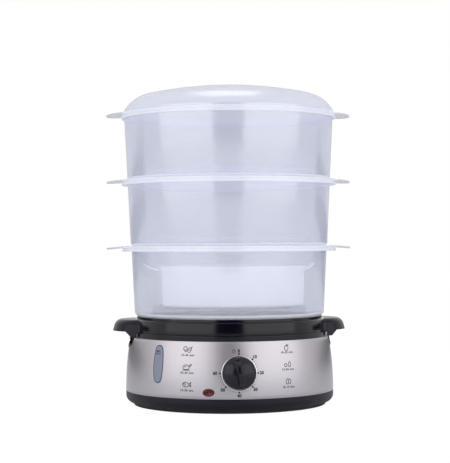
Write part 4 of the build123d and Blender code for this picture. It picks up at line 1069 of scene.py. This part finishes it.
# %% Letters
def form_of(curve):
    """Turns a text or a curve into a form and clears it away."""
    thing = stand("print", curve)
    bpy.context.view_layer.update()
    mesh = bpy.data.meshes.new_from_object(thing.evaluated_get(bpy.context.evaluated_depsgraph_get()))
    bm = bmesh.new()
    bm.from_mesh(mesh)
    bpy.data.objects.remove(thing)
    bpy.data.curves.remove(curve)
    bpy.data.meshes.remove(mesh)
    return bm


def words(text, size, bold=0.0, spacing=1.0):
    """Text as a flat form, centred on its own middle. size is the height of a capital in millimetres."""
    curve = bpy.data.curves.new("words", "FONT")
    curve.body = text
    curve.size = size * MM / 0.7
    curve.offset = bold * MM
    curve.space_character = spacing
    curve.resolution_u = 3
    curve.align_x = "CENTER"
    curve.align_y = "CENTER"
    bm = form_of(curve)
    bmesh.ops.remove_doubles(bm, verts=bm.verts, dist=1e-7)
    return bm


tried = words("0", 3.3)
print("a numeral has", len(tried.verts), "points")
tried.free()


# %% Lines
def stroke(points, width=0.42, closed=False):
    """A thin line of even width through a few points in millimetres, rounded as a spline."""
    curve = bpy.data.curves.new("stroke", "CURVE")
    curve.dimensions = "3D"
    curve.resolution_u = 6
    curve.bevel_depth = width * MM / 2
    curve.bevel_resolution = 1
    curve.use_fill_caps = True
    line = curve.splines.new("NURBS")
    line.points.add(len(points) - 1)
    for spot, (x, y) in zip(line.points, points):
        spot.co = (x * MM, y * MM, 0, 1)
    line.use_cyclic_u = closed
    line.order_u = 3
    line.use_endpoint_u = not closed
    bm = form_of(curve)
    bmesh.ops.scale(bm, verts=bm.verts, vec=(1, 1, 0.12))
    return bm


def ring(radius, x=0.0, y=0.0, wide=1.0, tall=1.0):
    """Points round a circle or an oval."""
    turns = [2 * math.pi * i / 10 for i in range(10)]
    return [(x + radius * wide * math.cos(t), y + radius * tall * math.sin(t)) for t in turns]


tried = stroke(ring(1.0), closed=True)
print("a small ring has", len(tried.verts), "points")
tried.free()

# %% Dial: a bold dot every ten minutes, fine ones between, plain numbers and a small stopwatch
DIAL_SWEEP, DIAL_MINUTES = 270.0, 60
BOLD_DOT, FINE_DOT = (1.1, 20.8), (0.42, 20.7)  # radius of a dot, and its distance from the knob's centre
NUMERAL, NUMERAL_BOLD = 3.3, 0.22
NUMBER_REACH = {0: 23.9, 10: 24.5, 20: 24.9, 30: 25.1, 40: 24.3, 50: 25.4, 60: 26.2}


def on_dial(minutes, reach):
    """Place on the dial of a time, at a distance from the knob's centre."""
    a = math.radians(DIAL_SWEEP * minutes / DIAL_MINUTES)
    return reach * math.sin(a), reach * math.cos(a)


dial = []
for minutes in range(0, DIAL_MINUTES + 1, 2):
    radius, reach = FINE_DOT if minutes % 10 else BOLD_DOT
    dial.append(dot(radius, *on_dial(minutes, reach)))
for minutes, reach in NUMBER_REACH.items():
    dial.append(moved(words(str(minutes), NUMERAL, NUMERAL_BOLD), *on_dial(minutes, reach)))
stopwatch = [
    stroke(ring(1.75, 0, -0.5), 0.5, True), stroke([(0, 1.3), (0, 1.7), (0, 2.1)], 0.6),
    stroke([(-0.7, 2.1), (0, 2.1), (0.7, 2.1)], 0.5), stroke([(0, -0.5), (0.4, 0.0), (0.8, 0.5)], 0.4),
]
dial += [moved(line, -5.4, NUMBER_REACH[0]) for line in stopwatch]
piece("dial_print", wrapped(gather(*dial), 0, DIAL_HEIGHT), "base", ink, sharp=180)

# %% [markdown]
# ## Cooking guide
#
# Six small line drawings of common foods stand beside the dial, each over its time in minutes. A drawing
# is a few strokes, and a stroke is a row of points that a spline rounds. The foods are plain signs.

# %% Line drawings of foods, as closed and open strokes with their points in tenths of a millimetre
CLOSED, OPEN = True, False
FOODS = {
    "mushroom": [
        (CLOSED, (-52, 3), (-50, 24), (-32, 36), (-12, 30), (-4, 10), (-12, 0), (-38, -4)),
        (OPEN, (-38, -2), (-36, -16), (-24, -24), (-16, -14), (-16, 0)),
        (CLOSED, (6, -26), (-4, -10), (8, 14), (32, 26), (46, 16), (38, -10), (22, -28)),
        (OPEN, (36, 22), (46, 28), (54, 36)),
        (OPEN, (10, -8), (22, 2), (32, 6)),
    ],
    "roast": [
        (CLOSED, (-52, -22), (-48, 6), (-26, 24), (4, 22), (20, 10), (28, -10), (16, -26), (-20, -28)),
        (OPEN, (18, 8), (32, 18), (44, 32), (54, 24), (46, 14), (34, 6), (26, -2)),
        (OPEN, (-36, -4), (-22, 8), (-6, 8)),
        (OPEN, (-54, -34), (-10, -35), (36, -34)),
    ],
    "fish": [
        (CLOSED, (-54, 2), (-36, 22), (-6, 28), (20, 12), (32, 2), (20, -14), (-8, -28), (-38, -18)),
        (OPEN, (28, 6), (38, 16), (52, 30), (44, 2), (52, -26), (36, -12), (26, 0)),
        (CLOSED, *ring(3.5, -34, 7)),
        (OPEN, (-22, 18), (-14, 2), (-22, -16)),
    ],
    "pepper": [
        (CLOSED, (-22, 14), (-28, -12), (-18, -34), (4, -36), (18, -22), (24, 4), (14, 16), (-4, 12)),
        (OPEN, (-2, 12), (2, 24), (12, 34)),
        (OPEN, (2, 22), (18, 18), (28, 28)),
    ],
    "potatoes": [
        (CLOSED, *ring(17.5, -26, -6)),
        (CLOSED, (2, -10), (12, 6), (18, 26), (28, 32), (34, 18), (42, -6), (36, -22), (12, -24)),
    ],
    "eggs": [
        (CLOSED, *ring(10, -14, 0, 1.75, 2.9)),
        (OPEN, (2, 24), (14, 30), (28, 16), (32, -6), (22, -26), (6, -26)),
    ],
}
print(sum(len(strokes) for strokes in FOODS.values()), "strokes draw", len(FOODS), "foods")

# %% Guide: each food over its time
LEFT, RIGHT = -28.0, 27.5  # azimuths of the two columns
DRAWN_LINE, LETTER, LETTER_BOLD, LETTER_SPACING = 0.70, 2.1, 0.13, 1.28
GUIDE = (  # column, height of the drawing, height of the time, and the time
    ("mushroom", LEFT, 69.6, 63.8, "15-40 min"), ("roast", LEFT, 51.1, 44.8, "20-50 min"),
    ("fish", LEFT, 32.0, 25.7, "10-30 min"), ("pepper", RIGHT, 71.3, 65.8, "10-20 min"),
    ("potatoes", RIGHT, 52.6, 47.3, "15-30 min"), ("eggs", RIGHT, 34.2, 28.2, "10-15 min"),
)
guide = []
for food, column, height, note_height, note in GUIDE:
    strokes = [([(x / 10, y / 10) for x, y in points], closed) for closed, *points in FOODS[food]]
    drawing = gather(*[stroke(points, DRAWN_LINE, closed) for points, closed in strokes])
    guide.append(wrapped(drawing, column, height))
    guide.append(wrapped(words(note, LETTER, LETTER_BOLD, LETTER_SPACING), column, note_height))
piece("guide_print", gather(*guide), "base", ink, sharp=180)

# %% [markdown]
# ## Level mark and painted edge shade
#
# The window gets a dark ink ring round its edge, painted shade for where the pane's rounded edge turns in
# behind the steel, and a mark for the highest water level: a word over two thin lines.

# %% Painted edge shade of the window and level mark
# painted shade: a dark ring inked round the window's edge stands in for the shading on its rounded edge
edge_shade = bmesh.new()
whole = edge_shade.faces.new([edge_shade.verts.new((x * MM, y * MM, 0)) for x, y in window_line(-0.02)])
edge_shade.normal_update()
bmesh.ops.inset_region(edge_shade, faces=[whole], thickness=0.8 * MM, use_boundary=True, use_even_offset=True)
bmesh.ops.delete(edge_shade, geom=[whole], context="FACES_ONLY")
level_lines = [stroke([(-5.2, y), (-1.2, y), (2.8, y)], 0.4) for y in (11.9, 10.9)]
mark = gather(edge_shade, moved(words("MAX", 1.9, 0.1), -1.2, 14.0), *level_lines)
PANE_PROUD = 0.2
piece(
    "window_print_and_edge_shade", wrapped(mark, WINDOW_TURN, WINDOW_HEIGHT, PANE_PROUD + INK_PROUD), "base", ink, sharp=180,
)

# %% [markdown]
# ## Finishes on the solids that stay
#
# The tank and the inner works are right as they are, and only need their finish.

# %% Finish the remaining solids
KEPT = {
    gloss_black: ["tank_body"],
    satin_black: ["cord_bush", "steam_ring"],
    silicone: ["window_seal", "heater_seal"],
    lamp_glass: ["neon_lamp"],
    cast_alloy: ["heater_plate", "heater_tube"],
    yellow_brass: ["thermal_fuse"],
    white_plastic: ["timer_case", "terminal_block"],
    zinc_steel: [
        "cover_screws", "heater_clamp", "heater_screws", "thermostat", "fuse_clip", "timer_frame",
        "timer_bell", "timer_screws", "timer_shaft",
    ],
}
for coat, solids in KEPT.items():
    for node in solids:
        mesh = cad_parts[node].data
        mesh.materials.clear()
        mesh.materials.append(coat)
print(sum(len(solids) for solids in KEPT.values()), "solids keep their own mesh")

# %% [markdown]
# ## Studio
#
# A pale floor, a white room and two large soft boxes at the front corners, with a small one overhead.
# Dark cards that only reflections see put the dark band in the middle of the glossy tray and steel, and
# the dark edges at their sides. Clear walls haze what lies behind them: a white that is seen through
# milky plastic is set a little lower than the bare white beside it.

# %% White that is hazed behind clear walls
HAZE = 0.54


def hazed(nodes, links, rays, level, strength):
    """Sets a white's strength to a level, and lower where the camera sees it through clear walls."""
    passed_wall = maths(nodes, links, "GREATER_THAN", rays.outputs["Transparent Depth"], 0.5)
    behind = maths(nodes, links, "MULTIPLY", passed_wall, rays.outputs["Is Camera Ray"])
    links.new(spread(nodes, links, behind, level, level * HAZE), strength)


print("white behind a clear wall is set to", HAZE)

# %% Floor
FLOOR_SHARE = 0.93  # how much of the white the camera sees in place of the shaded paper
sheet = bmesh.new()
bmesh.ops.create_grid(sheet, x_segments=1, y_segments=1, size=6.0)
bmesh.ops.translate(sheet, verts=sheet.verts, vec=(0, 0, -0.0002))
mesh = as_mesh("floor", sheet)
floor = stand("floor", mesh)
paper = bpy.data.materials.new("paper")
nodes, links = tree_of(paper)
matt = nodes["Principled BSDF"]
matt.inputs["Base Color"].default_value = (0.90, 0.90, 0.90, 1)
matt.inputs["Roughness"].default_value = 0.9
matt.inputs["Specular IOR Level"].default_value = 0.0
white = nodes.new("ShaderNodeEmission")
rays = nodes.new("ShaderNodeLightPath")
hazed(nodes, links, rays, 1.03, white.inputs["Strength"])
share = maths(nodes, links, "MULTIPLY", rays.outputs["Is Camera Ray"], FLOOR_SHARE)
mixed = blend(nodes, links, share, matt.outputs["BSDF"], white.outputs["Emission"])
links.new(mixed, nodes["Material Output"].inputs["Surface"])
mesh.materials.append(paper)
print("floor of", round(floor.dimensions.x, 1), "m")

# %% Room
room = bpy.data.worlds.new("room")
bpy.context.scene.world = room
nodes, links = tree_of(room)
sky = nodes["Background"]
sky.inputs["Color"].default_value = (0.93, 0.95, 1.0, 1)
sky.inputs["Strength"].default_value = 0.80
seen = nodes.new("ShaderNodeBackground")
seen.inputs["Color"].default_value = (1, 1, 1, 1)
rays = nodes.new("ShaderNodeLightPath")
hazed(nodes, links, rays, 1.0, seen.inputs["Strength"])
shows = maths(nodes, links, "MAXIMUM", rays.outputs["Is Camera Ray"], rays.outputs["Is Glossy Ray"])
shows = maths(nodes, links, "MAXIMUM", shows, rays.outputs["Is Transmission Ray"])
mixed = blend(nodes, links, shows, sky.outputs["Background"], seen.outputs["Background"])
links.new(mixed, nodes["World Output"].inputs["Surface"])
print("the room lights at", round(sky.inputs["Strength"].default_value, 2))


# %% Soft boxes
def soft_box(name, azimuth, height, distance, width, tall, power):
    """A large area lamp that looks at the middle of the stack. Metres and watts."""
    lamp = bpy.data.lights.new(name, "AREA")
    lamp.shape = "RECTANGLE"
    lamp.size = width
    lamp.size_y = tall
    lamp.energy = power
    a = math.radians(azimuth)
    spot = Vector((math.sin(a) * distance, -math.cos(a) * distance, height))
    aim = (Vector((0, 0, 0.18)) - spot).to_track_quat("-Z", "Y").to_matrix().to_4x4()
    stand(name, lamp).matrix_world = Matrix.Translation(spot) @ aim
    print(name, power, "W")


soft_box("soft_box_left", -50, 0.6, 1.9, 2.6, 2.0, 18.0)
soft_box("soft_box_right", 43, 0.6, 1.9, 2.6, 2.0, 18.8)
soft_box("soft_box_top", 180, 1.9, 0.25, 0.9, 0.9, 6.0)

# %% Dark cards
card_black = bpy.data.materials.new("card_black")
matt = tree_of(card_black)[0]["Principled BSDF"]
matt.inputs["Base Color"].default_value = (0.003, 0.003, 0.003, 1)
matt.inputs["Specular IOR Level"].default_value = 0.0


def dark_card(name, azimuth, distance, width, low, high):
    """A black card that only reflections see. Metres."""
    bm = bmesh.new()
    bmesh.ops.create_grid(bm, x_segments=1, y_segments=1, size=0.5)
    bmesh.ops.scale(bm, verts=bm.verts, vec=(width, high - low, 1))
    place = facing(azimuth, (low + high) / 2 / MM, distance / MM)
    bmesh.ops.transform(bm, matrix=place, verts=bm.verts)
    mesh = as_mesh(name, bm)
    mesh.materials.append(card_black)
    thing = stand(name, mesh)
    thing.visible_camera = False
    thing.visible_diffuse = False
    thing.visible_shadow = False
    thing.visible_transmission = False
    print(name, "from", low, "to", high, "m")


dark_card("card_front", -5, 1.75, 1.02, -0.2, 2.2)
dark_card("card_left", -138, 1.6, 1.56, -0.2, 0.17)
dark_card("card_right", 136, 1.6, 1.66, -0.2, 0.17)

# %% Finish
bpy.context.scene.view_settings.view_transform = "Standard"
